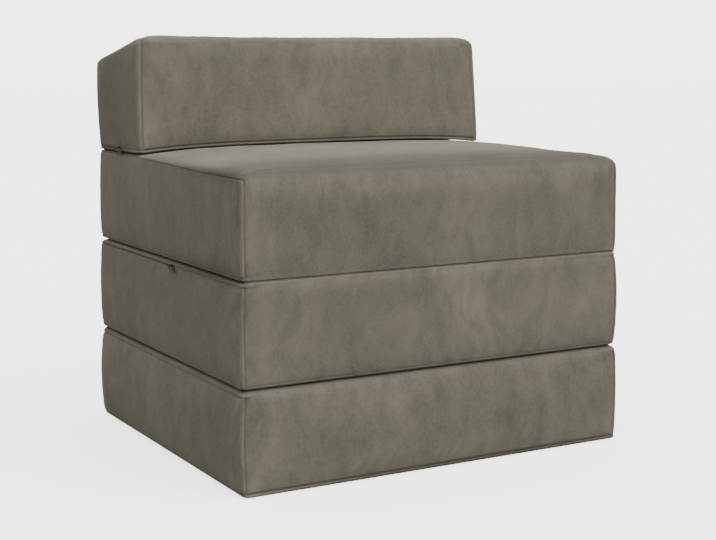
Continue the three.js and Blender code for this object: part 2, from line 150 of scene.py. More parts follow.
class Bench:
    """Writes one material's shader."""

    def __init__(self, name: str) -> None:
        """Starts a material that holds one Principled shader."""
        self.material = bpy.data.materials.new(name)
        self.material.use_nodes = True
        self.tree = self.material.node_tree
        self.shader = next(n for n in self.tree.nodes if n.type == "BSDF_PRINCIPLED")

    def feed(self, socket: bpy.types.NodeSocket, value: object) -> None:
        """Sets a socket or links it.

        Args:
            socket: the input socket.
            value: a signal, a number, or a tuple of numbers.
        """
        if isinstance(value, Signal):
            self.tree.links.new(value.socket, socket)
        elif isinstance(value, tuple) and socket.type == "RGBA" and len(value) == 3:
            socket.default_value = (*value, 1.0)
        else:
            socket.default_value = value

    def node(self, kind: str, settings: dict, inputs: dict, output: object = 0) -> Signal:
        """Adds any node.

        Args:
            kind: the node's type name.
            settings: properties that are set first.
            inputs: socket names or indices, with their values or signals.
            output: the name or index of the output that is returned.

        Returns:
            The output as a signal.
        """
        made = self.tree.nodes.new(kind)
        for key, value in settings.items():
            setattr(made, key, value)
        for key, value in inputs.items():
            self.feed(made.inputs[key], value)
        return Signal(self, made.outputs[output])

    def place(self) -> Signal:
        """The object coordinates."""
        return self.node("ShaderNodeTexCoord", {}, {}, "Object")

    def axis(self, index: int) -> Signal:
        """One of the object coordinates: 0 for X, 1 for Y, 2 for Z."""
        return self.node("ShaderNodeSeparateXYZ", {}, {0: self.place()}, index)

    def mapped(self, layer: str) -> Signal:
        """The coordinates of one UV map."""
        return self.node("ShaderNodeUVMap", {"uv_map": layer}, {})

    def attribute(self, name: str) -> Signal:
        """A number that is kept on the mesh's points."""
        return self.node("ShaderNodeAttribute", {"attribute_name": name}, {}, "Fac")

    def stretched(self, vector: Signal, scale: Triple) -> Signal:
        """A vector times a scale for each axis."""
        settings = {"operation": "MULTIPLY"}
        return self.node("ShaderNodeVectorMath", settings, {0: vector, 1: scale}, "Vector")

    def noise(self, vector: Signal, grain: "Grain", output: int = 0) -> Signal:
        """Noise at a vector: output 0 is its value and 1 its colour."""
        sizes = {"Scale": grain.scale, "Detail": grain.octaves, "Roughness": grain.keep}
        return self.node("ShaderNodeTexNoise", {}, {"Vector": vector, **sizes}, output)

    def blend(self, share: object, first: object, second: object) -> Signal:
        """The first colour, with a share of the second over it."""
        inputs = {0: share, 6: first, 7: second}
        return self.node("ShaderNodeMix", {"data_type": "RGBA"}, inputs, 2)

    def bump(self, height: Signal, strength: float, distance: float) -> None:
        """Feeds a height into the shader's normal."""
        inputs = {"Strength": strength, "Distance": distance, "Height": height}
        self.feed(self.shader.inputs["Normal"], self.node("ShaderNodeBump", {}, inputs))

    def finish(self, **values: object) -> bpy.types.Material:
        """Sets the shader's sockets.

        Args:
            values: socket names, with underscores for spaces, and their values or signals.

        Returns:
            The material.
        """
        for key, value in values.items():
            self.feed(self.shader.inputs[key.replace("_", " ")], value)
        return self.material


def shaded(colour: Triple, share: float) -> Triple:
    """A colour times a share."""
    return tuple(min(channel * share, 1.0) for channel in colour)


# ---------------------------------------------------------------------------------------------
# Finishes


@dataclass(frozen=True)
class Grain:
    """How coarse a noise is: features to a metre, octaves, and the share that each keeps."""

    scale: float
    octaves: float
    keep: float


@dataclass(frozen=True)
class Velvet:
    """Brushed velvet: cloudy nap, fine pile, darker seams with their stitches, and painted light
    and shade from lighter and darker strokes, painted shade in the creases and a painted highlight
    along the corner crests.
    """

    colour: Triple = (0.112, 0.1035, 0.079)
    swirl: Grain = Grain(7.0, 2.0, 0.5)
    clouds: Grain = Grain(13.0, 5.0, 0.62)
    brushing: Grain = Grain(44.0, 4.0, 0.6)
    mottle: Grain = Grain(210.0, 4.0, 0.7)
    pile: Grain = Grain(1100.0, 2.0, 0.7)
    cloud_stretch: Triple = (1.0, 0.62, 1.0)
    brush_stretch: Triple = (1.0, 0.4, 1.0)
    warp: float = 0.09
    stitch: float = 3.2 * MM
    shares: tuple[float, float, float, float] = (0.95, 0.7, 0.85, 0.4)
    middle: float = 0.95
    dark: float = 0.62
    light: float = 1.4
    # Shades of the layers over the plain cloth, in order: painted light of the lighter strokes,
    # painted shade of the darker strokes, painted shade in the creases, painted highlight along the
    # crests, then the darker seam lines.
    raised: float = 2.4
    painted_shade: float = 0.3
    crease_shade: float = 0.12
    crest_highlight: float = 1.6
    sewn: float = 0.28
    relief: float = 0.6 * MM

    def _plain(self, clouds: Signal, brushed: Signal, mottle: Signal, pile: Signal) -> Signal:
        """The cloth's colour before the painted light and shade of the strokes, the painted crease
        shade, the painted crest highlight and the seam lines go over it.

        Args:
            clouds: the nap's slow changes.
            brushed: its strokes.
            mottle: its small tufts.
            pile: its threads.

        Returns:
            The colour.
        """
        of_clouds, of_strokes, of_tufts, of_pile = self.shares
        tone = clouds * of_clouds + brushed * of_strokes + mottle * of_tufts + pile * of_pile
        shades = (shaded(self.colour, self.dark), shaded(self.colour, self.light))
        return clouds.bench.blend((tone - self.middle).clipped(), *shades)

    def material(self) -> bpy.types.Material:
        """Writes the velvet."""
        bench = Bench("velvet")
        nap, place = bench.mapped("nap"), bench.place()
        pushed = {0: bench.noise(nap, self.swirl, 1), 1: (self.warp,) * 3, 2: nap}
        bent = bench.node("ShaderNodeVectorMath", {"operation": "MULTIPLY_ADD"}, pushed, "Vector")
        clouds = bench.noise(bench.stretched(bent, self.cloud_stretch), self.clouds)
        brushed = bench.noise(bench.stretched(bent, self.brush_stretch), self.brushing)
        mottle, pile = bench.noise(place, self.mottle), bench.noise(place, self.pile)
        stitches = (bench.attribute("run") * (TURN / self.stitch)).wave() * 0.5 + 0.5
        brush = bench.attribute("brush")
        # Layers over the plain cloth: lighter strokes are painted light, in part brushed nap;
        # darker strokes are painted shade; the crease mask is painted shade between blocks and
        # along the floor; the crest mask is a painted highlight along the corners; the line mask
        # darkens the seam lines.
        layers = (
            (brush * (brushed * 2.2 - 0.1) * 0.4, self.raised),
            (brush * (clouds * 0.6 + 0.7) * -0.75, self.painted_shade),
            (bench.attribute("crease") * 0.75, self.crease_shade),
            (bench.attribute("crest") * 0.14, self.crest_highlight),
            (bench.attribute("line") * (0.75 + mottle * 0.5) * 0.55, self.sewn),
        )
        colour = self._plain(clouds, brushed, mottle, pile)
        for share, shade in layers:
            colour = bench.blend(share.clipped(), colour, shaded(self.colour, shade))
        raised = stitches * bench.attribute("seam") * 0.8
        height = pile * 0.6 + mottle * 0.5 + brushed * 0.35 + raised
        bench.bump(height, 0.55, self.relief)
        return bench.finish(
            Base_Color=colour,
            Roughness=(0.78 + clouds * 0.2).clipped(),
            Sheen_Weight=0.12,
            Sheen_Roughness=0.45,
            Sheen_Tint=(0.9, 0.86, 0.74),
            Specular_IOR_Level=0.15,
        )


@dataclass(frozen=True)
class UnderCloth:
    """Dark non-slip cloth with a plain weave and rubbery dots."""

    colour: Triple = (0.035, 0.033, 0.03)
    lint: Grain = Grain(90.0, 4.0, 0.6)
    thread: float = 1.1 * MM
    dot: float = 9.0 * MM
    dot_from: float = 0.62
    relief: float = 0.4 * MM

    def material(self) -> bpy.types.Material:
        """Writes the cloth."""
        bench = Bench("under_cloth")
        x, y = bench.axis(0), bench.axis(1)
        weave, spots = (
            (x * (TURN / size)).wave() * (y * (TURN / size)).wave()
            for size in (self.thread, self.dot)
        )
        dots = ((spots - self.dot_from) * 6.0).clipped()
        lint = bench.noise(bench.place(), self.lint)
        cloth = bench.blend(lint, shaded(self.colour, 0.7), shaded(self.colour, 1.8))
        colour = bench.blend(dots * 0.7, cloth, shaded(self.colour, 0.45))
        bench.bump(weave * 0.5 + dots * 1.4, 0.6, self.relief)
        return bench.finish(Base_Color=colour, Roughness=(0.95 - dots * 0.35).clipped())


@dataclass(frozen=True)
class HingeCloth:
    """The velvet's own backing cloth, ribbed along the fold."""

    colour: Triple = (0.13, 0.115, 0.092)
    fuzz: Grain = Grain(900.0, 3.0, 0.7)
    patch: Grain = Grain(22.0, 3.0, 0.5)
    rib: float = 1.0 * MM
    relief: float = 0.3 * MM

    def material(self) -> bpy.types.Material:
        """Writes the cloth."""
        bench = Bench("hinge_cloth")
        ribs = (bench.axis(0) * (TURN / self.rib)).wave() * 0.5 + 0.5
        fuzz, patch = bench.noise(bench.place(), self.fuzz), bench.noise(bench.place(), self.patch)
        tone = (patch * 0.6 + fuzz * 0.5 - 0.05).clipped()
        colour = bench.blend(tone, shaded(self.colour, 0.7), shaded(self.colour, 1.3))
        bench.bump(ribs * 0.6 + fuzz * 0.6, 0.5, self.relief)
        return bench.finish(
            Base_Color=colour,
            Roughness=(0.86 + fuzz * 0.14).clipped(),
            Sheen_Weight=0.35,
            Sheen_Roughness=0.4,
            Sheen_Tint=(0.95, 0.92, 0.84),
        )


@dataclass(frozen=True)
class Coil:
    """Dyed nylon zip coil."""

    colour: Triple = (0.082, 0.076, 0.059)
    dust: Grain = Grain(420.0, 3.0, 0.6)
    fibre: Grain = Grain(2400.0, 1.0, 0.5)
    relief: float = 0.1 * MM

    def material(self) -> bpy.types.Material:
        """Writes the nylon."""
        bench = Bench("zip_coil")
        dust, fibre = bench.noise(bench.place(), self.dust), bench.noise(bench.place(), self.fibre)
        colour = bench.blend(dust, shaded(self.colour, 0.75), shaded(self.colour, 1.35))
        bench.bump(fibre, 0.2, self.relief)
        rough = (0.6 + dust * 0.25).clipped()
        return bench.finish(Base_Color=colour, Roughness=rough, Specular_IOR_Level=0.2)


@dataclass(frozen=True)
class PlatedZinc:
    """Dark antique nickel over zinc, with handling marks."""

    colour: Triple = (0.13, 0.12, 0.10)
    smudge: Grain = Grain(300.0, 3.0, 0.6)
    scratch: Grain = Grain(900.0, 2.0, 0.5)
    scratch_stretch: Triple = (1.0, 6.0, 1.0)
    relief: float = 0.05 * MM

    def material(self) -> bpy.types.Material:
        """Writes the metal."""
        bench = Bench("plated_zinc")
        place = bench.place()
        smudge = bench.noise(place, self.smudge)
        scratch = bench.noise(bench.stretched(place, self.scratch_stretch), self.scratch)
        colour = bench.blend(smudge, shaded(self.colour, 0.82), shaded(self.colour, 1.05))
        bench.bump(scratch, 0.12, self.relief)
        rough = (0.26 + smudge * 0.16 + scratch * 0.08).clipped()
        return bench.finish(Base_Color=colour, Metallic=1.0, Roughness=rough)


@dataclass(frozen=True)
class PaleFloor:
    """The studio's plain pale sweep."""

    colour: Triple = (0.86, 0.86, 0.86)
    cloud: Grain = Grain(1.2, 2.0, 0.5)
    glow: float = 2.4

    def material(self) -> bpy.types.Material:
        """Writes the floor."""
        bench = Bench("pale_floor")
        cloud = bench.noise(bench.place(), self.cloud)
        return bench.finish(
            Base_Color=bench.blend(cloud, self.colour, shaded(self.colour, 1.02)),
            Roughness=0.9,
            Specular_IOR_Level=0.1,
            Emission_Color=self.colour,
            Emission_Strength=self.glow,
        )


class Wardrobe:
    """Every finish, written once."""

    def __init__(self) -> None:
        """Writes the materials."""
        self.velvet = Velvet().material()
        self.under = UnderCloth().material()
        self.hinge = HingeCloth().material()
        self.coil = Coil().material()
        self.metal = PlatedZinc().material()
        self.floor = PaleFloor().material()


# ---------------------------------------------------------------------------------------------
# Sizes


@dataclass(frozen=True)
class Edge:
    """How one upright face meets the top and the underside, and how far it swells."""

    top: float
    foot: float
    swell: float


@dataclass(frozen=True)
class ZipRun:
    """Where a block's zip lies: its side, its seam, and how far it runs along that side."""

    hand: Hand
    at_top: bool
    side: float


@dataclass(frozen=True)
class Stroke:
    """A patch of painted light or painted shade on the cloth; some lighter patches are also brushed
    nap.
    """

    centre: Triple
    reach: Triple
    tone: float

    def tone_at(self, points: np.ndarray) -> np.ndarray:
        """How much the patch changes the tone of each point."""
        away = (points - np.array(self.centre)) / np.array(self.reach)
        return self.tone * np.exp(-(away**2).sum(axis=1))


@dataclass
class BlockShape:
    """The form of one stuffed block of the folded chair."""

    name: str
    bottom: float
    height: float
    edges: dict[Face, Edge]
    seam_top: float
    zip_run: ZipRun
    joins: dict[str, Join]
    seed: int
    width: float = 0.660
    depth: float = 0.560
    corner: float = 8 * MM
    front_swell: float = 1.5 * MM
    rear_swell: float = 3 * MM
    seam_foot: float = 5 * MM
    crown: float = 0.0
    crown_power: float = 4.0
    pinch_top: float = 1.0
    pinch_foot: float = 1.0
    crease_top: float = 6 * MM
    crease_foot: float = 5 * MM
    stuffing: float = 2.5 * MM
    held_behind: float = 1.0
    corner_in: float = 0.0
    corner_draw: float = 0.0
    long_bold: float = 0.7
    side_bold: float = 0.4
    strokes: tuple[Stroke, ...] = ()

    def swell_share(self, face: Face, z: np.ndarray) -> np.ndarray:
        """Share of a face's swell at a height: none at its seams, all half way up.

        Args:
            face: the upright face.
            z: heights over the block's underside.

        Returns:
            Shares between 0 and 1.
        """
        edge = self.edges[face]
        low, high = edge.foot, self.height - edge.top
        along = np.clip((2 * z - low - high) / (high - low), -1, 1)
        return 1 - along**2

    def inset(self, face: Face, z: np.ndarray) -> np.ndarray:
        """How far the rolled edges draw a face in at a height.

        Args:
            face: the upright face.
            z: heights over the block's underside.

        Returns:
            Distances towards the middle of the block.
        """
        edge = self.edges[face]
        top = rolled(edge.top, self.height - z) * self.pinch_top
        return top + rolled(edge.foot, z) * self.pinch_foot

    def crown_at(self, x: np.ndarray, y: np.ndarray) -> np.ndarray:
        """Rise of the crowned top over its edges.

        Args:
            x: places across.
            y: places from front to rear.

        Returns:
            Heights.
        """
        half = self.width / 2 - self.edges[Face.LEFT].top
        low = -self.depth / 2 + self.edges[Face.FRONT].top
        high = self.depth / 2 - self.edges[Face.REAR].top
        u = np.clip(x / half, -1, 1)
        v = np.clip((2 * y - low - high) / (high - low), -1, 1)
        return self.crown * (1 - np.abs(u) ** self.crown_power) * (1 - v**2)

    def place(self, points: np.ndarray) -> np.ndarray:
        """Moves points, as rows of x, y and z, from the block's own frame to the chair's."""
        return points + np.array([0.0, 0.0, self.bottom])


@dataclass
class SeatShape(BlockShape):
    """The seat block, whose side rolls are tighter where the backrest stands."""

    tight: float = 0.75
    tight_from: float = -0.15
    tight_over: float = 0.25
    tight_side: float = 14 * MM
    tight_depth: float = 25 * MM

    def place(self, points: np.ndarray) -> np.ndarray:
        """Moves points to the chair's frame and raises the rear part of the side rolls.

        Args:
            points: rows of x, y and z in the block's own frame.

        Returns:
            Rows in the chair's frame.
        """
        x, y, z = points.T
        drop = np.clip(self.height - z, 0, None)
        side = np.exp(-(((self.width / 2 - np.abs(x)) / self.tight_side) ** 2))
        under = np.clip((y - self.tight_from) / self.tight_over, 0, 1)
        raised = self.tight * side * under * drop * np.exp(-((drop / self.tight_depth) ** 2))
        return np.column_stack([x, y, z + raised + self.bottom])


@dataclass
class BackShape(BlockShape):
    """The wedge backrest, which stands on the seat's crown and leans back."""

    seat: BlockShape | None = None
    front_height: float = 0.191
    rear_height: float = 0.153
    lean: float = 18 * MM
    air: float = 0.7 * MM
    turn: float = math.radians(1.1)
    twist: float = math.radians(1.0)
    lift: float = 1.2 * MM
    forward: float = 5 * MM
    droop: float = 4 * MM
    droop_reach: float = 26 * MM
    droop_power: float = 6

    def place(self, points: np.ndarray) -> np.ndarray:
        """Bends a plain block into the wedge.

        Args:
            points: rows of x, y and z in the block's own frame.

        Returns:
            Rows in the chair's frame.
        """
        x, y, z = points.T
        share = y / self.depth + 0.5
        rise = z / self.height
        foot = self.seat.depth / 2 - self.depth / 2 + y
        taller = self.front_height + (self.rear_height - self.front_height) * share - self.height
        over = self.seat.crown_at(x, foot) + self.lift * (1 - share)
        standing = self.seat.bottom + self.seat.height + self.air + over * (1 - rise)
        turn = self.turn + self.twist * rise
        loose = 1 - share * (1 - rise)
        turned = foot + self.lean * rise + x * np.sin(turn) * loose - self.forward * (1 - share)
        across = x * np.cos(turn) - y * np.sin(turn) * rise
        ends = np.exp(-(((self.width / 2 - np.abs(x)) / self.droop_reach) ** 2))
        drooped = self.droop * ends * rise**self.droop_power
        up = standing + z + taller * rise * np.abs(rise) - drooped
        return np.column_stack([across, turned, up])


def rolled(radius: float, away: np.ndarray) -> np.ndarray:
    """How far a quarter roll has drawn in, at heights away from the flat that it rolls to."""
    left = np.clip(radius - np.maximum(away, 0), 0, None)
    return radius - np.sqrt(radius**2 - left**2)


def waves(seed: int, lengths: tuple[float, ...], places: np.ndarray) -> np.ndarray:
    """A soft seeded ripple along one direction.

    Args:
        seed: what makes it repeatable.
        lengths: the wavelengths that it is made of.
        places: distances along that direction.

    Returns:
        Values of about -1 to 1.
    """
    phases = np.random.default_rng(seed).uniform(0, TURN, len(lengths))
    bent = places + 0.3 * lengths[0] * np.sin(places * TURN / (lengths[-1] * 2.3))
    ripples = (np.sin(TURN * bent / length + phase) for length, phase in zip(lengths, phases))
    return sum(ripples) / len(lengths) ** 0.5 / 1.3


# ---------------------------------------------------------------------------------------------
# The stuffed cover


@dataclass(frozen=True)
class Seams:
    """How a seam is sunk into a cover, and how its neighbourhood puckers."""

    deep: float = 1.2 * MM
    wide: float = 2.8 * MM
    zip_deep: float = 1.5 * MM
    zip_flat: float = 1.5 * MM
    pull: float = 1.7 * MM
    puff: float = 10 * MM
    pucker: float = 0.42 * MM
    pucker_from: float = 2.2 * MM
    reach: float = 13 * MM
    hills: float = 0.42 * MM
    hills_from: float = 22 * MM
    zip_fade: float = 1.2 * MM
    uneven: float = 0.16
    groove_waves: Triple = (9 * MM, 14 * MM, 23 * MM)
    pucker_waves: Triple = (19 * MM, 31 * MM, 53 * MM)
    hill_waves: tuple[Triple, Triple] = ((0.11, 0.19, 0.31), (0.13, 0.23, 0.37))


@dataclass(frozen=True)
class ClothRun:
    """The cloth that blows a cover up, and how long it is simulated."""

    frames: int = 20
    quality: int = 5
    mass: float = 0.3
    pull: float = 14
    shear: float = 8
    bend: float = 4
    pressure: float = 4.0
    held_under: float = 0.35


@dataclass(frozen=True)
class Fineness:
    """How fine a cover's grid is: between seams, beside them, and at the least."""

    step: float
    near_seam: tuple[float, ...]
    least: float


FINE = Fineness(7 * MM, (0.0, 1.1 * MM, 2.3 * MM, 4.0 * MM, 6.5 * MM), 0.5 * MM)
COARSE = Fineness(19 * MM, (0.0, 6.0 * MM), 3.0 * MM)


class Cover:
    """One block's velvet cover: a stuffed form with every panel seam, pucker and zip groove."""

    CORNER_STEPS = 4
    ROLL_STEPS = 6
    SIDE_STATIONS = 12
    CAP_LINES = 7
    FAR = 0.05
    REACH = 0.03
    LEAST_GAP = 0.6 * MM
    CONTACT = 6 * MM
    SEAM_HOLD = 6 * MM
    SEAM_SHADE = 2.2 * MM
    LINE_WIDTH = 1.3 * MM
    CREST = (4.5 * MM, 3.2 * MM)
    REAR_MAP, SIDE_MAP, FOOT_MAP, OWN_MAP = 2, 4, 8, 0.731
    BOLD_UPRIGHT = 0.65
    HINGE_CREASE = 0.4
    OPEN_ROOM = 1.3 * MM

    def __init__(self, shape: BlockShape, mesh: Fineness, seams: Seams = Seams()) -> None:
        """Works out the form's grid.

        Args:
            shape: the block's form.
            mesh: how fine the grid is.
            seams: how its seams are sunk.
        """
        self.shape = shape
        self.mesh = mesh
        self.seams = seams
        self._lay_out_stations()
        self._lay_out_levels()

    def _lines(self, length: float) -> np.ndarray:
        """Places along a stretch that lie closer together at both of its ends."""
        near = [offset for offset in self.mesh.near_seam if offset < length / 2]
        inner = length - 2 * near[-1]
        count = max(2, round(inner / self.mesh.step / 2) * 2)
        middle = np.linspace(near[-1], length - near[-1], count + 1)
        return np.array([*near[:-1], *middle, *(length - offset for offset in reversed(near[:-1]))])

    def _lay_out_stations(self) -> None:
        """Lists the points round the outline, from the front left corner's diagonal."""
        shape = self.shape
        arc = [step / self.CORNER_STEPS for step in range(self.CORNER_STEPS)]
        self.stations: list[tuple[Face, str, float]] = []
        for face in Face:
            long = face in (Face.FRONT, Face.REAR)
            length = (shape.width if long else shape.depth) - 2 * shape.corner
            shares = self._lines(length) / length
            self.stations += [(face, "start", share) for share in arc]
            self.stations += [(face, "face", float(share)) for share in shares]
            self.stations += [(face, "end", share) for share in reversed(arc[1:])]
            count = 2 * self.CORNER_STEPS + len(shares) - 1
            if long:
                self.across = count
            else:
                self.along = count
        self.round = len(self.stations)

    def _lay_out_levels(self) -> None:
        """Lists the heights of the rings: fine over rolls and seams, coarse between them."""
        shape = self.shape
        top = shape.height
        marks = {0.0, top}
        for edge in shape.edges.values():
            for step in range(1, self.ROLL_STEPS):
                curl = 1 - math.cos(step * math.pi / 2 / self.ROLL_STEPS)
                marks.add(top - edge.top * curl)
                marks.add(edge.foot * curl)
            marks |= {edge.foot, top - edge.top}
        seams = [shape.seam_foot, shape.seam_top]
        for seam in seams:
            for offset in self.mesh.near_seam[1:]:
                marks |= {seam - offset, seam + offset}
        low = max(edge.foot for edge in shape.edges.values())
        high = top - max(edge.top for edge in shape.edges.values())
        count = round((high - low) / self.mesh.step)
        marks |= set(np.linspace(low, high, count + 1))
        kept: list[float] = []
        for mark in sorted(mark for mark in marks if 0 <= mark <= top):
            on_seam = any(abs(mark - seam) < self.LEAST_GAP for seam in seams)
            crowded = kept and mark - kept[-1] < self.mesh.least and mark < top
            if not on_seam and not crowded:
                kept.append(mark)
        self.levels = np.array(sorted({*kept, *seams, top}))

    def _outline(self) -> np.ndarray:
        """The rings' points, as levels by stations by x, y and z."""
        shape = self.shape
        z = self.levels
        plain = shape.width / 2
        left, right = shape.inset(Face.LEFT, z), shape.inset(Face.RIGHT, z)
        full = shape.swell_share(Face.LEFT, z)
        front, rear = plain + shape.front_swell * full, plain + shape.rear_swell * full
        drawn = shape.corner_in + shape.corner_draw * (1 - full)
        y0 = -shape.depth / 2 + shape.inset(Face.FRONT, z)
        y1 = shape.depth / 2 - shape.inset(Face.REAR, z)
        r = shape.corner
        corners = [
            (left - front + r, y0 + r),
            (front - right - r - drawn, y0 + r),
            (rear - right - r, y1 - r),
            (left - rear + r, y1 - r),
        ]
        outward = [(0, -1), (1, 0), (0, 1), (-1, 0)]
        points = np.zeros((len(z), self.round, 3))
        points[:, :, 2] = z[:, None]
        for k, (face, kind, share) in enumerate(self.stations):
            i = face.value
            start, end = corners[i], corners[(i + 1) % 4]
            normal = -math.pi / 2 + i * math.pi / 2
            if kind == "face":
                swell = shape.edges[face].swell * shape.swell_share(face, z)
                swell = swell * (1 - (2 * share - 1) ** 2)
                for axis in (0, 1):
                    middle = start[axis] + (end[axis] - start[axis]) * share
                    points[:, k, axis] = middle + outward[i][axis] * (r + swell)
                if face is Face.RIGHT:
                    points[:, k, 0] += drawn * ((1 - share) - (1 - share) ** 3)
            else:
                away = (1 - share) * math.pi / 4
                angle = normal - away if kind == "start" else normal + away
                centre = start if kind == "start" else end
                points[:, k, 0] = centre[0] + r * math.cos(angle)
                points[:, k, 1] = centre[1] + r * math.sin(angle)
        return points

    def _cap(self, ring: np.ndarray, crowned: bool) -> np.ndarray:
        """Fills a ring with a grid of points.

        Args:
            ring: the ring's points.
            crowned: whether the cap rises to the block's crown.

        Returns:
            The grid, as lines across by lines along by x, y and z, its rim included.
        """
        nx, ny = self.across, self.along
        front = ring[: nx + 1]
        right = ring[nx : nx + ny + 1]
        rear = ring[nx + ny : 2 * nx + ny + 1][::-1]
        left = np.vstack([ring[2 * nx + ny :], ring[:1]])[::-1]
        u = ((front[:, 0] - front[0, 0]) / (front[-1, 0] - front[0, 0]))[:, None, None]
        v = ((left[:, 1] - left[0, 1]) / (left[-1, 1] - left[0, 1]))[None, :, None]
        sides = (1 - v) * front[:, None, :] + v * rear[:, None, :]
        ends = (1 - u) * left[None, :, :] + u * right[None, :, :]
        corners = (
            (1 - u) * (1 - v) * front[0]
            + u * (1 - v) * front[-1]
            + (1 - u) * v * rear[0]
            + u * v * rear[-1]
        )
        grid = sides + ends - corners
        if crowned:
            grid[:, :, 2] = ring[0, 2] + self.shape.crown_at(grid[:, :, 0], grid[:, :, 1])
        return grid

    def _rim_index(self, i: int, j: int) -> int | None:
        """The station that a cap's grid point shares, or None inside the cap."""
        nx, ny = self.across, self.along
        if j == 0:
            return i
        if i == nx:
            return nx + j
        if j == ny:
            return nx + ny + (nx - i)
        if i == 0:
            return (2 * nx + ny + (ny - j)) % self.round
        return None

    def _assemble(self) -> None:
        """Puts the rings and both caps into one closed mesh's points and faces."""
        rings = self.rings = self._outline()
        count, nx, ny = len(self.levels), self.across, self.along
        points = [rings.reshape(-1, 3)]
        faces: list[tuple[int, int, int, int]] = []
        self.quad_kind: list[tuple[str, int, int]] = []
        for level in range(count - 1):
            for k in range(self.round):
                a, b = level * self.round + k, level * self.round + (k + 1) % self.round
                faces.append((a, b, b + self.round, a + self.round))
                self.quad_kind.append(("wall", level, k))
        offset = count * self.round
        for name, level in (("top", count - 1), ("foot", 0)):
            grid = self._cap(rings[level], name == "top")
            index = np.zeros((nx + 1, ny + 1), int)
            inner = []
            for i in range(nx + 1):
                for j in range(ny + 1):
                    rim = self._rim_index(i, j)
                    if rim is None:
                        index[i, j] = offset + len(inner)
                        inner.append(grid[i, j])
                    else:
                        index[i, j] = level * self.round + rim
            offset += len(inner)
            points.append(np.array(inner))
            for i in range(nx):
                for j in range(ny):
                    quad = (index[i, j], index[i + 1, j], index[i + 1, j + 1], index[i, j + 1])
                    faces.append(quad if name == "top" else quad[::-1])
                    self.quad_kind.append((name, i, j))
            if name == "top":
                self.top_index = index
        self.points = np.vstack(points)
        self.faces = np.array(faces)
        self._measure()

    def _mark(self, index: np.ndarray, away: np.ndarray, run: np.ndarray, bold: float) -> None:
        """Keeps a seam's measures on the points that no other seam is closer to.

        Args:
            index: the points.
            away: their distances from the seam.
            run: how far along the seam each lies.
            bold: how plainly the seam shows.
        """
        closer = away < self.gap[index]
        at = index[closer]
        self.gap[at] = away[closer]
        self.run[at] = run[closer]
        self.bold[at] = bold

    def _measure(self) -> None:
        """Works out how far each point is from a seam, an edge and the zip."""
        shape, rings = self.shape, self.rings
        count, total = len(self.levels), len(self.points)
        self.gap, self.hold, self.zip_gap = (np.full(total, self.FAR) for _ in range(3))
        self.run, self.bold, self.ridge = (np.zeros(total) for _ in range(3))
        steps = np.diff(rings[count // 2], axis=0, append=rings[count // 2, :1])
        lengths = np.linalg.norm(steps, axis=1)
        self.around = np.concatenate([[0], np.cumsum(lengths)[:-1]])
        self.climb = np.zeros((count, self.round))
        self.climb[1:] = np.cumsum(np.linalg.norm(np.diff(rings, axis=0), axis=2), axis=0)
        self.top_level = int(np.argmin(np.abs(self.levels - shape.seam_top)))
        self.foot_level = int(np.argmin(np.abs(self.levels - shape.seam_foot)))
        for k in range(self.round):
            self._measure_station(k)
        for k, (face, kind, share) in enumerate(self.stations):
            if face in (Face.FRONT, Face.REAR) and kind == "face" and share in (0.0, 1.0):
                self._measure_upright(k, -1 if share == 0.0 else 1)
        self._measure_cap_sides()
        self.hold = np.minimum(self.hold, self.gap)

    def _measure_station(self, k: int) -> None:
        """Marks the seams that cross one station of the outline."""
        shape, count = self.shape, len(self.levels)
        face, kind, _ = self.stations[k]
        index = np.arange(count) * self.round + k
        run = np.full(count, self.around[k])
        for level, end in ((self.foot_level, "foot"), (self.top_level, "top")):
            away = np.abs(self.climb[:, k] - self.climb[level, k])
            long = face in (Face.FRONT, Face.REAR) and kind == "face"
            join = shape.joins.get(f"{face.name.lower()}_{end}", Join.PLAIN) if long else Join.SEWN
            if join is Join.SEWN:
                self._mark(index, away, run, shape.long_bold if long else shape.side_bold)
            elif join is Join.HINGED:
                self.hold[index] = np.minimum(self.hold[index], away)
            if self._on_zip(k) and (end == "top") == shape.zip_run.at_top:
                self.zip_gap[index] = away

    def _measure_upright(self, k: int, corner_way: int) -> None:
        """Marks one upright seam.

        Args:
            k: its station.
            corner_way: the way round that its corner lies.
        """
        levels = np.arange(self.foot_level, self.top_level + 1)
        for step in range(-self.SIDE_STATIONS, self.SIDE_STATIONS + 1):
            other = (k + step) % self.round
            away = abs(self.around[other] - self.around[k])
            away = min(away, self.around[-1] - away)
            if away > self.REACH:
                continue
            index = levels * self.round + other
            run = self.climb[levels, other]
            self._mark(index, np.full(len(levels), away), run, self.BOLD_UPRIGHT)
            if step * corner_way > 0:
                self.ridge[index] = 1.0

    def _measure_cap_sides(self) -> None:
        """Marks the side panels' top seams on the cap, as far as their reach goes."""
        rim = self.top_index
        beyond = self.climb[-1] - self.climb[self.top_level]
        for i in (*range(1, self.CAP_LINES + 1), *range(self.across - self.CAP_LINES, self.across)):
            side = 0 if i < self.across / 2 else self.across
            for j in range(1, self.along):
                k = self._rim_index(side, j)
                away = abs(self.points[rim[i, j], 0] - self.points[rim[side, j], 0]) + beyond[k]
                index = np.array([rim[i, j]])
                self._mark(index, np.array([away]), self.around[[k]], self.shape.side_bold)

    def _on_zip(self, k: int) -> bool:
        """Whether the zip passes a station."""
        face, _, _ = self.stations[k]
        x, y, _ = self.rings[len(self.levels) // 2, k]
        run = self.shape.zip_run
        hand = run.hand.value
        if face is Face.REAR:
            return hand * x > -(self.shape.width / 2 - ZipSizes.margin)
        side = Face.RIGHT if run.hand is Hand.RIGHT else Face.LEFT
        return face is side and y > self.shape.depth / 2 - run.side

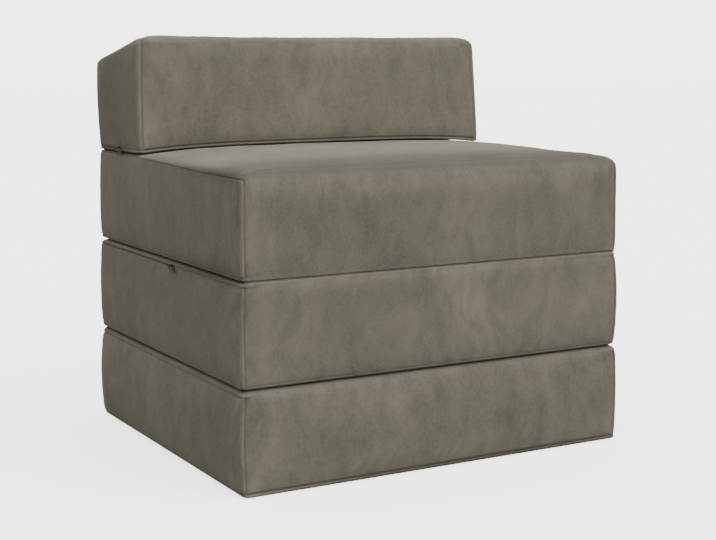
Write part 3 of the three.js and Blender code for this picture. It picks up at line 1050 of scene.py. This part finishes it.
    def _normals(self, points: np.ndarray) -> np.ndarray:
        """Each point's outward direction."""
        a, b, c, d = (points[self.faces[:, i]] for i in range(4))
        cross = np.cross(c - a, d - b)
        normals = np.zeros_like(points)
        for i in range(4):
            np.add.at(normals, self.faces[:, i], cross)
        return normals / np.maximum(np.linalg.norm(normals, axis=1, keepdims=True), 1e-12)

    def _off_contact(self) -> np.ndarray:
        """How free each point is of the faces that rest on the floor or on another block."""
        shape, z = self.shape, self.points[:, 2]
        clear = np.clip(z / self.CONTACT, 0, 1)
        if shape.crown == 0 and not isinstance(shape, BackShape):
            clear = clear * np.clip((shape.height - z) / self.CONTACT, 0, 1)
        under = (self.points[:, 1] > shape.held_behind) & (z > shape.height - 1 * MM)
        return np.where(under, 0.0, clear)

    def _free(self) -> np.ndarray:
        """How free each point is to move: not at a seam, nor where blocks touch."""
        return self._off_contact() * (1 - np.exp(-self.hold / self.SEAM_HOLD))

    @staticmethod
    def _inflate(worker: bpy.types.Object, run: ClothRun) -> np.ndarray:
        """Simulates an object as cloth with pressure inside.

        Args:
            worker: the object, with its held points in the group "held".
            run: the cloth's settings.

        Returns:
            Where its points end.
        """
        cloth = worker.modifiers.new("cloth", "CLOTH")
        settings = cloth.settings
        settings.quality = run.quality
        settings.mass = run.mass
        settings.tension_stiffness = settings.compression_stiffness = run.pull
        settings.shear_stiffness = run.shear
        settings.bending_stiffness = run.bend
        settings.use_pressure = True
        settings.uniform_pressure_force = run.pressure
        settings.vertex_group_mass = "held"
        settings.effector_weights.gravity = 0
        cloth.collision_settings.use_collision = False
        cloth.collision_settings.use_self_collision = False
        cloth.point_cache.frame_start = 1
        cloth.point_cache.frame_end = run.frames
        for step in range(1, run.frames + 1):
            bpy.context.scene.frame_set(step)
        result = worker.evaluated_get(bpy.context.evaluated_depsgraph_get()).to_mesh()
        after = np.zeros(len(result.vertices) * 3)
        result.vertices.foreach_get("co", after)
        bpy.context.scene.frame_set(1)
        return after.reshape(-1, 3)

    def blown(self, run: ClothRun = ClothRun()) -> np.ndarray:
        """Blows the cover up from inside as cloth held at its seams.

        Args:
            run: the cloth's settings.

        Returns:
            How far each point moves, within a small limit.
        """
        self._assemble()
        mesh = bpy.data.meshes.new("cover_in_work")
        mesh.from_pydata(self.points.tolist(), [], self.faces.tolist())
        worker = bpy.data.objects.new("cover_in_work", mesh)
        bpy.context.collection.objects.link(worker)
        free = self._free()
        held = [int(index) for index in np.flatnonzero(free < run.held_under)]
        worker.vertex_groups.new(name="held").add(held, 1.0, "REPLACE")
        moved = self._inflate(worker, run) - self.points
        bpy.data.objects.remove(worker, do_unlink=True)
        far = np.maximum(np.linalg.norm(moved, axis=1, keepdims=True), 1e-9)
        LOG.info("%s: the cloth rose by up to %.1f mm", self.shape.name, far.max() / MM)
        limit = self.shape.stuffing
        return moved / far * limit * (1 - np.exp(-far / limit)) * free[:, None]

    def _take_form(self) -> None:
        """Moves the cover's points as the coarse cloth under them moved."""
        cloth = Cover(self.shape, COARSE, self.seams)
        moved = cloth.blown()
        tree = BVHTree.FromPolygons(cloth.points.tolist(), cloth.faces.tolist())
        shift = np.zeros_like(self.points)
        for index, point in enumerate(self.points):
            spot, _, face, _ = tree.find_nearest(Vector(point))
            corners = cloth.faces[face]
            near = 1 / (np.linalg.norm(cloth.points[corners] - np.array(spot), axis=1) + 1e-5) ** 2
            shift[index] = (moved[corners] * near[:, None]).sum(axis=0) / near.sum()
        self.points = self.points + shift * self._free()[:, None]

    def _relief(self) -> np.ndarray:
        """How far each point stands out of the plain form: seams, puckers and soft waves."""
        shape, seams, gap, run = self.shape, self.seams, self.gap, self.run
        sunk = np.clip(1 - gap / seams.wide, 0, 1) ** 1.5
        ripple = 1 + seams.uneven * waves(shape.seed + 5, seams.groove_waves, run)
        flat = 1 - np.clip((self.zip_gap - seams.zip_flat) / seams.zip_fade, 0, 1)
        along_zip = self.zip_gap < seams.wide
        groove = np.where(along_zip, seams.zip_deep * flat, seams.deep * sunk * self.bold * ripple)
        near = np.exp(-gap / seams.reach) * (1 - np.exp(-gap / seams.pucker_from))
        pucker = seams.pucker * near * waves(shape.seed, seams.pucker_waves, run)
        x, y, z = self.points.T
        level, upright = seams.hill_waves
        slow = waves(shape.seed + 1, level, x + 0.25 * z)
        slow = slow + waves(shape.seed + 2, upright, y + 0.2 * x)
        hills = seams.hills * slow * np.clip(gap / seams.hills_from, 0, 1)
        drawn = seams.pull * np.exp(-gap / seams.puff) * np.clip(self.zip_gap / self.REACH, 0, 1)
        return (pucker + hills) * self._free() - drawn * self._off_contact() - groove

    def _make_room(self, points: np.ndarray) -> np.ndarray:
        """Holds back the faces that meet another block when the bed is open.

        Args:
            points: the cover's points in the block's own frame.

        Returns:
            The points, with those faces' bulge limited.
        """
        half, joins = self.shape.depth / 2, self.shape.joins
        for face, way in ((Face.FRONT, -1), (Face.REAR, 1)):
            ends = (joins.get(f"{face.name.lower()}_{end}") for end in ("top", "foot"))
            if Join.HINGED in ends:
                over = np.clip(way * points[:, 1] - half, 0, None)
                points[:, 1] -= way * (over - self.OPEN_ROOM * (1 - np.exp(-over / self.OPEN_ROOM)))
        return points

    def _store(self, mesh: bpy.types.Mesh) -> None:
        """Keeps the seam measures, and the masks of painted light and shade, on the mesh for the
        velvet.
        """
        over, wide = self.CREST
        # The strokes, creases and crests below are masks of painted light and painted shade.
        patches = (stroke.tone_at(self.points) for stroke in self.shape.strokes)
        kept = {
            "seam": np.exp(-self.gap / self.SEAM_SHADE),
            "line": np.exp(-((self.gap / self.LINE_WIDTH) ** 2)) * self.bold,
            "crest": np.exp(-(((self.gap - over) / wide) ** 2)) * self.ridge,
            "run": self.run,
            "brush": sum(patches, np.zeros(len(self.gap))),
            "crease": self._crease(),
        }
        for name, values in kept.items():
            layer = mesh.attributes.new(name, "FLOAT", "POINT")
            layer.data.foreach_set("value", values.astype(np.float32))

    def _crease(self) -> np.ndarray:
        """How deep each point lies in the crease between two blocks, where little light comes."""
        shape, climb = self.shape, self.climb
        dark = np.zeros(len(self.points))
        top = np.exp(-(((climb[-1] - climb) / max(shape.crease_top, 0.1 * MM)) ** 2))
        foot = np.exp(-((climb / max(shape.crease_foot, 0.1 * MM)) ** 4))
        for end, share in (("top", top), ("foot", foot)):
            for face in (Face.FRONT, Face.REAR):
                if shape.joins.get(f"{face.name.lower()}_{end}") is Join.HINGED:
                    share[:, [station[0] is face for station in self.stations]] *= self.HINGE_CREASE
        dark[: climb.size] = np.maximum(top, foot).reshape(-1)
        return dark

    def _nap_map(self, mesh: bpy.types.Mesh) -> None:
        """Lays the nap's UV map: across and up each panel, in metres."""
        points, climb, around = self.points, self.climb, self.around
        last = len(self.levels) - 1
        base_v = climb[last, self.across // 2] - points[self.top_index[self.across // 2, 0], 1]
        whole = around[-1] + 0.01
        uv = np.zeros((len(self.faces), 4, 2))
        for n, (kind, a, b) in enumerate(self.quad_kind):
            x, y, _ = points[self.faces[n]].T
            if kind != "wall":
                uv[n] = np.column_stack([x + (0 if kind == "top" else self.FOOT_MAP), y + base_v])
                continue
            face, spot, _ = self.stations[b]
            following = self.stations[(b + 1) % self.round]
            flat = spot == "face" and following[1] == "face" and following[0] is face
            columns = [b, b + 1, b + 1, b]
            rows = (a, a, a + 1, a + 1)
            up = np.array([climb[row, col % self.round] for row, col in zip(rows, columns)])
            if flat and face is Face.FRONT:
                uv[n] = np.column_stack([x, up])
            elif flat and face is Face.REAR:
                uv[n] = np.column_stack([self.REAR_MAP - x, up])
            elif a >= self.top_level:
                rest = climb[last, b] - up
                uv[n] = np.column_stack([x + np.sign(x) * rest, y + base_v])
            else:
                along = [around[col % self.round] + whole * (col == self.round) for col in columns]
                uv[n] = np.column_stack([np.array(along) + self.SIDE_MAP, up])
        own = self.shape.seed * self.OWN_MAP
        layer = mesh.uv_layers.new(name="nap")
        layer.data.foreach_set("uv", (uv + own).reshape(-1))

    def build(self, wardrobe: Wardrobe) -> bpy.types.Object:
        """Makes the cover as one closed mesh.

        Args:
            wardrobe: the finishes.

        Returns:
            The cover, in place.
        """
        self._assemble()
        self._take_form()
        normals = self._normals(self.points)
        shaped = self._make_room(self.points + normals * self._relief()[:, None])
        mesh = bpy.data.meshes.new(f"{self.shape.name}_cushion")
        mesh.from_pydata(self.shape.place(shaped).tolist(), [], self.faces.tolist())
        self._store(mesh)
        self._nap_map(mesh)
        mesh.polygons.foreach_set("use_smooth", [True] * len(mesh.polygons))
        mesh.materials.append(wardrobe.velvet)
        if self.shape.name == "base":
            mesh.materials.append(wardrobe.under)
            under = [1 if kind == "foot" else 0 for kind, _, _ in self.quad_kind]
            mesh.polygons.foreach_set("material_index", under)
        mesh.update()
        cover = bpy.data.objects.new(mesh.name, mesh)
        bpy.context.collection.objects.link(cover)
        return cover


# ---------------------------------------------------------------------------------------------
# Zips and hinges


@dataclass(frozen=True)
class ZipSizes:
    """A small coil zip's sizes."""

    margin: float = 25 * MM
    tape: float = 3.0 * MM
    pitch: float = 1.7 * MM
    tooth: Triple = (1.1 * MM, 0.7 * MM, 1.7 * MM)
    tooth_bevel: float = 0.22 * MM
    tooth_out: float = 0.3 * MM
    stagger: float = 0.22 * MM
    sunk: float = 1.15 * MM
    rear_steps: int = 40
    turn_steps: int = 8
    side_steps: int = 20


class ZipChain:
    """A closed coil chain that follows its seam across the rear and round one corner."""

    def __init__(self, shape: BlockShape, sizes: ZipSizes = ZipSizes()) -> None:
        """Keeps the block and the zip's sizes."""
        self.shape = shape
        self.sizes = sizes

    def _path(self) -> np.ndarray:
        """Points along the chain's middle line in the block's frame, with their outward ways."""
        shape, run, sizes = self.shape, self.shape.zip_run, self.sizes
        hand = run.hand.value
        z = shape.seam_top if run.at_top else shape.seam_foot
        level = np.array([z])
        half = shape.width / 2 - float(shape.inset(Face.LEFT, level)[0])
        rear = shape.depth / 2 - float(shape.inset(Face.REAR, level)[0])
        r = shape.corner
        start, end = -hand * (shape.width / 2 - sizes.margin), shape.depth / 2 - run.side
        points = []
        for step in range(sizes.rear_steps + 1):
            x = start + (hand * (half - r) - start) * step / sizes.rear_steps
            points.append((x, rear, 0.0, 1.0))
        for step in range(1, sizes.turn_steps + 1):
            angle = math.pi / 2 * (1 - step / sizes.turn_steps)
            way = (hand * math.cos(angle), math.sin(angle))
            points.append((hand * (half - r) + r * way[0], rear - r + r * way[1], *way))
        for step in range(1, sizes.side_steps + 1):
            y = rear - r + (end - rear + r) * step / sizes.side_steps
            points.append((hand * half, y, float(hand), 0.0))
        return np.array([(x, y, z, nx, ny) for x, y, nx, ny in points])

    def build(self, wardrobe: Wardrobe) -> bpy.types.Object:
        """Makes the tape and its row of teeth as one mesh.

        Args:
            wardrobe: the finishes.

        Returns:
            The chain, in place.
        """
        sizes = self.sizes
        path = self._path()
        steps = np.linalg.norm(np.diff(path[:, :2], axis=0), axis=1)
        lengths = np.concatenate([[0], np.cumsum(steps)])
        tooth_points, tooth_faces = self._tooth()
        points, faces = [], []
        for k, (x, y, z, nx, ny) in enumerate(path):
            for side in (-1, 1):
                points.append((x - nx * sizes.sunk, y - ny * sizes.sunk, z + side * sizes.tape / 2))
            if k:
                a = 2 * (k - 1)
                faces.append((a, a + 2, a + 3, a + 1))
        up = np.array([0.0, 0.0, 1.0])
        for step in range(int(lengths[-1] / sizes.pitch)):
            s = (step + 0.5) * sizes.pitch
            x, y, z, nx, ny = (np.interp(s, lengths, path[:, i]) for i in range(5))
            out = np.array([nx, ny, 0.0]) / math.hypot(nx, ny)
            way = np.array([-out[1], out[0], 0.0])
            centre = np.array([x, y, z]) - out * (sizes.sunk - sizes.tooth_out)
            centre = centre + up * (sizes.stagger if step % 2 else -sizes.stagger)
            first = len(points)
            points.extend(map(tuple, centre + tooth_points @ np.array([way, out, up])))
            faces.extend(tuple(first + index for index in face) for face in tooth_faces)
        mesh = bpy.data.meshes.new(f"{self.shape.name}_zip_coil")
        mesh.from_pydata(self.shape.place(np.array(points)).tolist(), [], faces)
        mesh.materials.append(wardrobe.coil)
        mesh.update()
        chain = bpy.data.objects.new(mesh.name, mesh)
        bpy.context.collection.objects.link(chain)
        return chain

    def _tooth(self) -> tuple[np.ndarray, list[tuple[int, ...]]]:
        """One tooth, bevelled by hand tools and read back as points and faces."""
        bpy.ops.object.select_all(action="DESELECT")
        bpy.ops.mesh.primitive_cube_add(size=1)
        bpy.ops.object.mode_set(mode="EDIT")
        bpy.ops.transform.resize(value=self.sizes.tooth)
        bpy.ops.mesh.bevel(offset=self.sizes.tooth_bevel, segments=1)
        bpy.ops.object.mode_set(mode="OBJECT")
        tooth = bpy.context.object
        points = np.array([tuple(v.co) for v in tooth.data.vertices])
        faces = [tuple(p.vertices) for p in tooth.data.polygons]
        bpy.data.objects.remove(tooth, do_unlink=True)
        return points, faces


@dataclass(frozen=True)
class HingeSpot:
    """A cloth hinge: the two bodies that it joins, the side that it is on and its fold line."""

    parent: str
    child: str
    face: Face
    level: float


class HingeStrip:
    """A folded strip of cloth sewn into two blocks."""

    HALF = 0.3216
    THICK = 0.8 * MM
    SUNK = 1.6 * MM
    TUCK = 4.8 * MM
    WIDTH = 11 * MM
    REACH = 2.2 * MM
    CURL = 1.6
    RIPPLE = 0.25 * MM
    RIPPLE_TURNS = (61, 40, 23)
    ROWS = 18
    COLUMNS = 90
    BEND = 1.6 * MM

    def __init__(self, spot: HingeSpot, depth: float) -> None:
        """Keeps the hinge's place and the blocks' depth."""
        self.spot = spot
        self.depth = depth

    def build(self, wardrobe: Wardrobe) -> bpy.types.Object:
        """Makes the strip.

        Args:
            wardrobe: the finishes.

        Returns:
            The strip, in place.
        """
        sign = 1 if self.spot.face is Face.REAR else -1
        rows = []
        for row in range(self.ROWS + 1):
            turn = (row / self.ROWS - 0.5) * 2
            out = self.depth / 2 - self.SUNK - self.TUCK * abs(turn) ** self.CURL
            rows.append((sign * out, self.spot.level + turn * self.REACH))
        fast, offset, slow = self.RIPPLE_TURNS
        points = []
        for step in range(self.COLUMNS + 1):
            x = -self.HALF + 2 * self.HALF * step / self.COLUMNS
            ripple = math.sin(x * fast + self.spot.level * offset) * math.sin(x * slow)
            ripple = self.RIPPLE * ripple
            points += [(x, y + sign * ripple, z) for y, z in rows]
        width = len(rows)
        faces = []
        for step in range(self.COLUMNS):
            for row in range(width - 1):
                a = step * width + row
                quad = (a, a + width, a + width + 1, a + 1)
                faces.append(quad if sign < 0 else quad[::-1])
        mesh = bpy.data.meshes.new(f"{self.spot.parent}_to_{self.spot.child}_hinge_strip")
        mesh.from_pydata(points, [], faces)
        mesh.polygons.foreach_set("use_smooth", [True] * len(mesh.polygons))
        mesh.materials.append(wardrobe.hinge)
        strip = bpy.data.objects.new(mesh.name, mesh)
        bpy.context.collection.objects.link(strip)
        bpy.ops.object.select_all(action="DESELECT")
        strip.select_set(True)
        bpy.context.view_layer.objects.active = strip
        wall = strip.modifiers.new("wall", "SOLIDIFY")
        wall.thickness = self.THICK
        wall.offset = -1
        bpy.ops.object.modifier_apply(modifier=wall.name)
        return strip


# ---------------------------------------------------------------------------------------------
# The chair and its studio


@dataclass
class ChairBed:
    """The folded chair: three sleeping blocks, the backrest, their hinges and their zips."""

    SOFT_PARTS: ClassVar = ("foam", "bottom", "left", "right", "wrap", "rear", "front", "top")
    FILL: ClassVar = 0.9

    wardrobe: Wardrobe
    pitch: float = 0.151
    air: float = 0.2 * MM
    depth: float = 0.560
    roll: float = 10 * MM
    hinge_roll: float = 2.6 * MM
    foot_roll: float = 5 * MM
    face_swell: float = 1.2 * MM
    side_swell: float = 1.5 * MM
    zip_side: float = 0.320
    back_height: float = 0.172
    back_seam: float = 6 * MM
    first_seed: int = 11
    seed_step: int = 7
    covers: dict[str, bpy.types.Object] = field(default_factory=dict)

    def _layer(
        self,
        name: str,
        level: int,
        side_roll: float,
        joins: dict[str, Join],
        run: ZipRun,
        front_roll: float | None = None,
        front_foot: float | None = None,
        left_foot: float | None = None,
        seam_drop: float | None = None,
        **more: object,
    ) -> BlockShape:
        """One sleeping block's form.

        Args:
            name: the block's body.
            level: its place in the stack, from the floor.
            side_roll: radius along the top of its side faces.
            joins: what runs along its long edges.
            run: its zip.
            front_roll: radius of a front edge that differs from a plain block's.
            front_foot: the same of the edge under the front.
            left_foot: the same of the edge under the left side.
            seam_drop: how far the top seam lies below the top, if not the side roll.
            more: other sizes that differ from a plain block's.

        Returns:
            The form.
        """
        bottom = level * self.pitch + (self.air if level else 0)
        height = (level + 1) * self.pitch - self.air - bottom

        def roll(key: str, plain: float) -> float:
            """The radius along one long edge."""
            return self.hinge_roll if joins.get(key) is Join.HINGED else plain

        foot, side, swell = self.foot_roll, self.side_swell, self.face_swell
        front = front_roll or roll("front_top", self.roll)
        edges = {
            Face.FRONT: Edge(front, roll("front_foot", front_foot or foot), swell),
            Face.REAR: Edge(roll("rear_top", self.roll), roll("rear_foot", foot), swell),
            Face.LEFT: Edge(side_roll, left_foot or foot, side),
            Face.RIGHT: Edge(side_roll, foot, side),
        }
        kind = SeatShape if name == "seat" else BlockShape
        seam = height - (seam_drop or side_roll)
        seed = self.first_seed + self.seed_step * level
        return kind(name, bottom, height, edges, seam, run, joins, seed=seed, **more)

    def shapes(self) -> list[BlockShape]:
        """The four blocks' forms, from the floor up."""
        sewn, hinged = Join.SEWN, Join.HINGED
        base = self._layer(
            "base",
            0,
            9 * MM,
            {"front_foot": sewn, "rear_foot": sewn, "rear_top": hinged},
            ZipRun(Hand.RIGHT, True, self.zip_side),
            front_swell=2.5 * MM,
            rear_swell=4.5 * MM,
            crease_top=7 * MM,
            crease_foot=7.5 * MM,
            pinch_top=1.5,
            left_foot=10 * MM,
            front_foot=3 * MM,
            seam_foot=5.5 * MM,
            long_bold=1.3,
            # Lighter patches on the front, in part brushed nap and in part painted light.
            strokes=(
                Stroke((-0.31, -0.28, 0.06), (0.05, 0.04, 0.10), 0.4),
                Stroke((-0.13, -0.28, 0.12), (0.10, 0.05, 0.04), 0.5),
                Stroke((0.0, -0.28, 0.02), (0.60, 0.05, 0.022), 0.25),
                Stroke((0.22, -0.28, 0.08), (0.12, 0.05, 0.06), 0.1),
            ),
        )
        middle = self._layer(
            "middle",
            1,
            7 * MM,
            {"front_foot": sewn, "rear_foot": hinged, "rear_top": sewn, "front_top": hinged},
            ZipRun(Hand.LEFT, True, self.zip_side),
            pinch_top=1.7,
            pinch_foot=2.4,
            corner_draw=4 * MM,
            side_bold=0.25,
            # Lighter patches on the front, in part brushed nap and in part painted light; a painted
            # highlight along the top front edge; painted shade along the top of the left side under
            # the seat's overhang, and over the left side.
            strokes=(
                Stroke((0.04, -0.28, 0.10), (0.035, 0.05, 0.06), 0.5),
                Stroke((0.24, -0.28, 0.08), (0.09, 0.05, 0.05), 0.3),
                Stroke((-0.31, -0.28, 0.06), (0.06, 0.04, 0.09), 0.4),
                Stroke((0.0, -0.28, 0.06), (0.22, 0.05, 0.09), 0.25),
                Stroke((0.0, -0.285, 0.148), (0.60, 0.02, 0.012), 0.6),
                Stroke((-0.33, -0.17, 0.152), (0.03, 0.14, 0.011), -0.7),
                Stroke((-0.33, 0.0, 0.12), (0.03, 0.30, 0.05), -0.2),
            ),
        )
        seat = self._layer(
            "seat",
            2,
            12 * MM,
            {"front_foot": hinged, "rear_foot": sewn, "rear_top": hinged},
            ZipRun(Hand.RIGHT, False, self.zip_side),
            front_swell=0.5 * MM,
            rear_swell=2 * MM,
            crease_top=0.0,
            held_behind=0.09,
            pinch_foot=2.4,
            # A painted highlight across the top near the backrest and a lighter middle; painted
            # shade along the top's front and left edges and at the foot of the left side; lighter
            # front patches, in part brushed nap and in part painted light.
            strokes=(
                Stroke((0.0, 0.125, 0.16), (0.36, 0.055, 0.02), 2.4),
                Stroke((0.0, -0.04, 0.16), (0.26, 0.07, 0.02), 0.3),
                Stroke((0.0, -0.235, 0.153), (0.90, 0.085, 0.014), -1.2),
                Stroke((-0.326, -0.07, 0.149), (0.014, 0.33, 0.012), -0.9),
                Stroke((0.0, -0.285, 0.128), (0.60, 0.03, 0.022), 0.25),
                Stroke((0.05, -0.28, 0.06), (0.05, 0.05, 0.06), 0.4),
                Stroke((0.24, -0.28, 0.09), (0.07, 0.05, 0.04), 0.2),
                Stroke((-0.32, -0.28, 0.06), (0.05, 0.04, 0.07), 0.45),
                Stroke((-0.33, -0.2, 0.004), (0.03, 0.12, 0.012), -0.5),
            ),
            crown=10 * MM,
            front_roll=22 * MM,
            seam_drop=9 * MM,
            side_bold=0.6,
            corner_in=3.5 * MM,
        )
        side_edge = Edge(12 * MM, 3.5 * MM, self.side_swell)
        back = BackShape(
            "backrest",
            0.0,
            self.back_height,
            {
                Face.FRONT: Edge(12 * MM, 4 * MM, self.face_swell),
                Face.REAR: Edge(12 * MM, self.hinge_roll, self.face_swell),
                Face.LEFT: side_edge,
                Face.RIGHT: side_edge,
            },
            self.back_height - self.back_seam,
            ZipRun(Hand.LEFT, False, 0.101),
            {"front_foot": sewn, "rear_foot": hinged, "rear_top": sewn},
            seed=41,
            depth=0.169,
            corner=11 * MM,
            front_swell=1.0 * MM,
            rear_swell=2.5 * MM,
            crease_top=0.0,
            pinch_foot=1.0,
            crease_foot=5 * MM,
            long_bold=1.5,
            # Lighter patches on the front, in part brushed nap and in part painted light, and
            # painted shade over the left side.
            strokes=(
                Stroke((-0.03, -0.09, 0.08), (0.05, 0.05, 0.05), 0.3),
                Stroke((-0.32, -0.09, 0.09), (0.04, 0.03, 0.12), 0.6),
                Stroke((-0.20, -0.09, 0.13), (0.06, 0.05, 0.04), 0.2),
                Stroke((0.12, -0.09, 0.14), (0.07, 0.05, 0.04), 0.1),
                Stroke((-0.33, 0.0, 0.09), (0.03, 0.12, 0.12), -0.35),
            ),
            seam_foot=5.5 * MM,
            seat=seat,
        )
        return [base, middle, seat, back]

    def build(self) -> None:
        """Builds and dresses every piece."""
        nodes = frame["nodes"]
        for shape in self.shapes():
            cover = Cover(shape, FINE).build(self.wardrobe)
            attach(cover, shape.name)
            soft = (f"{shape.name}_{part}" for part in self.SOFT_PARTS)
            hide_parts(*(name for name in soft if name in nodes))
            self.covers[shape.name] = cover
            report(cover)
            chain = ZipChain(shape).build(self.wardrobe)
            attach(chain, shape.name)
            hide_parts(f"{shape.name}_zip_chain")
            report(chain)
            for part in ("slider", "pull"):
                self._dress_metal(nodes[f"{shape.name}_zip_{part}"])
        self._build_hinges()

    def _build_hinges(self) -> None:
        """Builds the three cloth hinges and bends each between its two blocks."""
        hinges = (
            ("base", "middle", Face.REAR),
            ("middle", "seat", Face.FRONT),
            ("seat", "backrest", Face.REAR),
        )
        for level, (parent, child, face) in enumerate(hinges, 1):
            spot = HingeSpot(parent, child, face, level * self.pitch)
            strip = HingeStrip(spot, self.depth).build(self.wardrobe)
            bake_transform(strip)
            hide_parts(*(f"{n}_{face.name.lower()}_hinge_tape" for n in (parent, child)))
            report(strip)

    def _dress_metal(self, node: bpy.types.Object) -> None:
        """Gives a slider or a pull its plating."""
        node.data.materials.clear()
        node.data.materials.append(self.wardrobe.metal)
        report(node)


def report(piece: bpy.types.Object) -> None:
    """Logs a piece's name and size."""
    LOG.info("%s: %d faces", piece.name, len(piece.data.polygons))


@dataclass
class Studio:
    """The pale floor, the soft lights and the camera."""

    wardrobe: Wardrobe
    lens: float = 73.33
    shift: float = -0.12
    place: Triple = (-1.1588, -2.0668, 0.6186)
    yaw: float = 29.555
    pitch: float = 5.257
    ambient: float = 0.9
    ambient_below: float = 0.3
    backdrop: float = 4.2
    horizon: float = 0.2
    sensor: float = 36
    floor_size: float = 40
    floor_under: float = 0.5 * MM
    lamps: tuple[tuple[str, Triple, float, float], ...] = (
        ("overhead", (0.15, 0.1, 1.0), 120, 3.4),
        ("key", (0.55, -0.8, 0.62), 40, 2.3),
    )

    def build(self) -> None:
        """Sets everything up."""
        self._floor()
        self._lights()
        self._camera()

    def _floor(self) -> None:
        """A wide plain floor."""
        bpy.ops.object.select_all(action="DESELECT")
        where = (0, 0, -self.floor_under)
        bpy.ops.mesh.primitive_plane_add(size=self.floor_size, location=where)
        floor = bpy.context.object
        floor.name = "studio_floor"
        floor.data.materials.append(self.wardrobe.floor)
        floor.visible_diffuse = False
        floor.visible_glossy = False

    def _lights(self) -> None:
        """Soft light from above and from the front right, in a room as pale as its floor."""
        world = bpy.data.worlds.new("studio")
        bpy.context.scene.world = world
        world.use_nodes = True
        tree = world.node_tree
        background = tree.nodes["Background"]
        background.inputs[0].default_value = (1.0, 1.0, 1.0, 1.0)
        way = tree.nodes.new("ShaderNodeTexCoord")
        split = tree.nodes.new("ShaderNodeSeparateXYZ")
        sky = tree.nodes.new("ShaderNodeMapRange")
        sky.inputs["From Min"].default_value = -self.horizon
        sky.inputs["From Max"].default_value = self.horizon
        sky.inputs["To Min"].default_value = self.ambient_below
        sky.inputs["To Max"].default_value = self.ambient
        seen = tree.nodes.new("ShaderNodeLightPath")
        level = tree.nodes.new("ShaderNodeMix")
        level.inputs[3].default_value = self.backdrop
        tree.links.new(way.outputs["Generated"], split.inputs[0])
        tree.links.new(split.outputs[2], sky.inputs["Value"])
        tree.links.new(seen.outputs["Is Camera Ray"], level.inputs[0])
        tree.links.new(sky.outputs[0], level.inputs[2])
        tree.links.new(level.outputs[0], background.inputs[1])
        for name, place, spread, power in self.lamps:
            lamp = bpy.data.lights.new(name, "SUN")
            lamp.angle = math.radians(spread)
            lamp.energy = power
            holder = bpy.data.objects.new(name, lamp)
            holder.rotation_euler = (-Vector(place)).to_track_quat("-Z", "Y").to_euler()
            bpy.context.collection.objects.link(holder)

    def _camera(self) -> None:
        """The camera at the photograph's viewing angle."""
        data = bpy.data.cameras.new("camera")
        data.lens = self.lens
        data.sensor_width = self.sensor
        data.shift_y = self.shift
        camera = bpy.data.objects.new("camera", data)
        camera.location = self.place
        down, round_it = math.radians(self.pitch), math.radians(self.yaw)
        camera.rotation_euler = (math.pi / 2 - down, 0.0, -round_it)
        bpy.context.collection.objects.link(camera)
        bpy.context.scene.camera = camera


def main() -> None:
    """Builds the chair bed and its studio."""
    logging.basicConfig(level=logging.INFO, format="%(name)s %(message)s")
    wardrobe = Wardrobe()
    ChairBed(wardrobe).build()
    Studio(wardrobe).build()


if __name__ == "__main__":
    main()
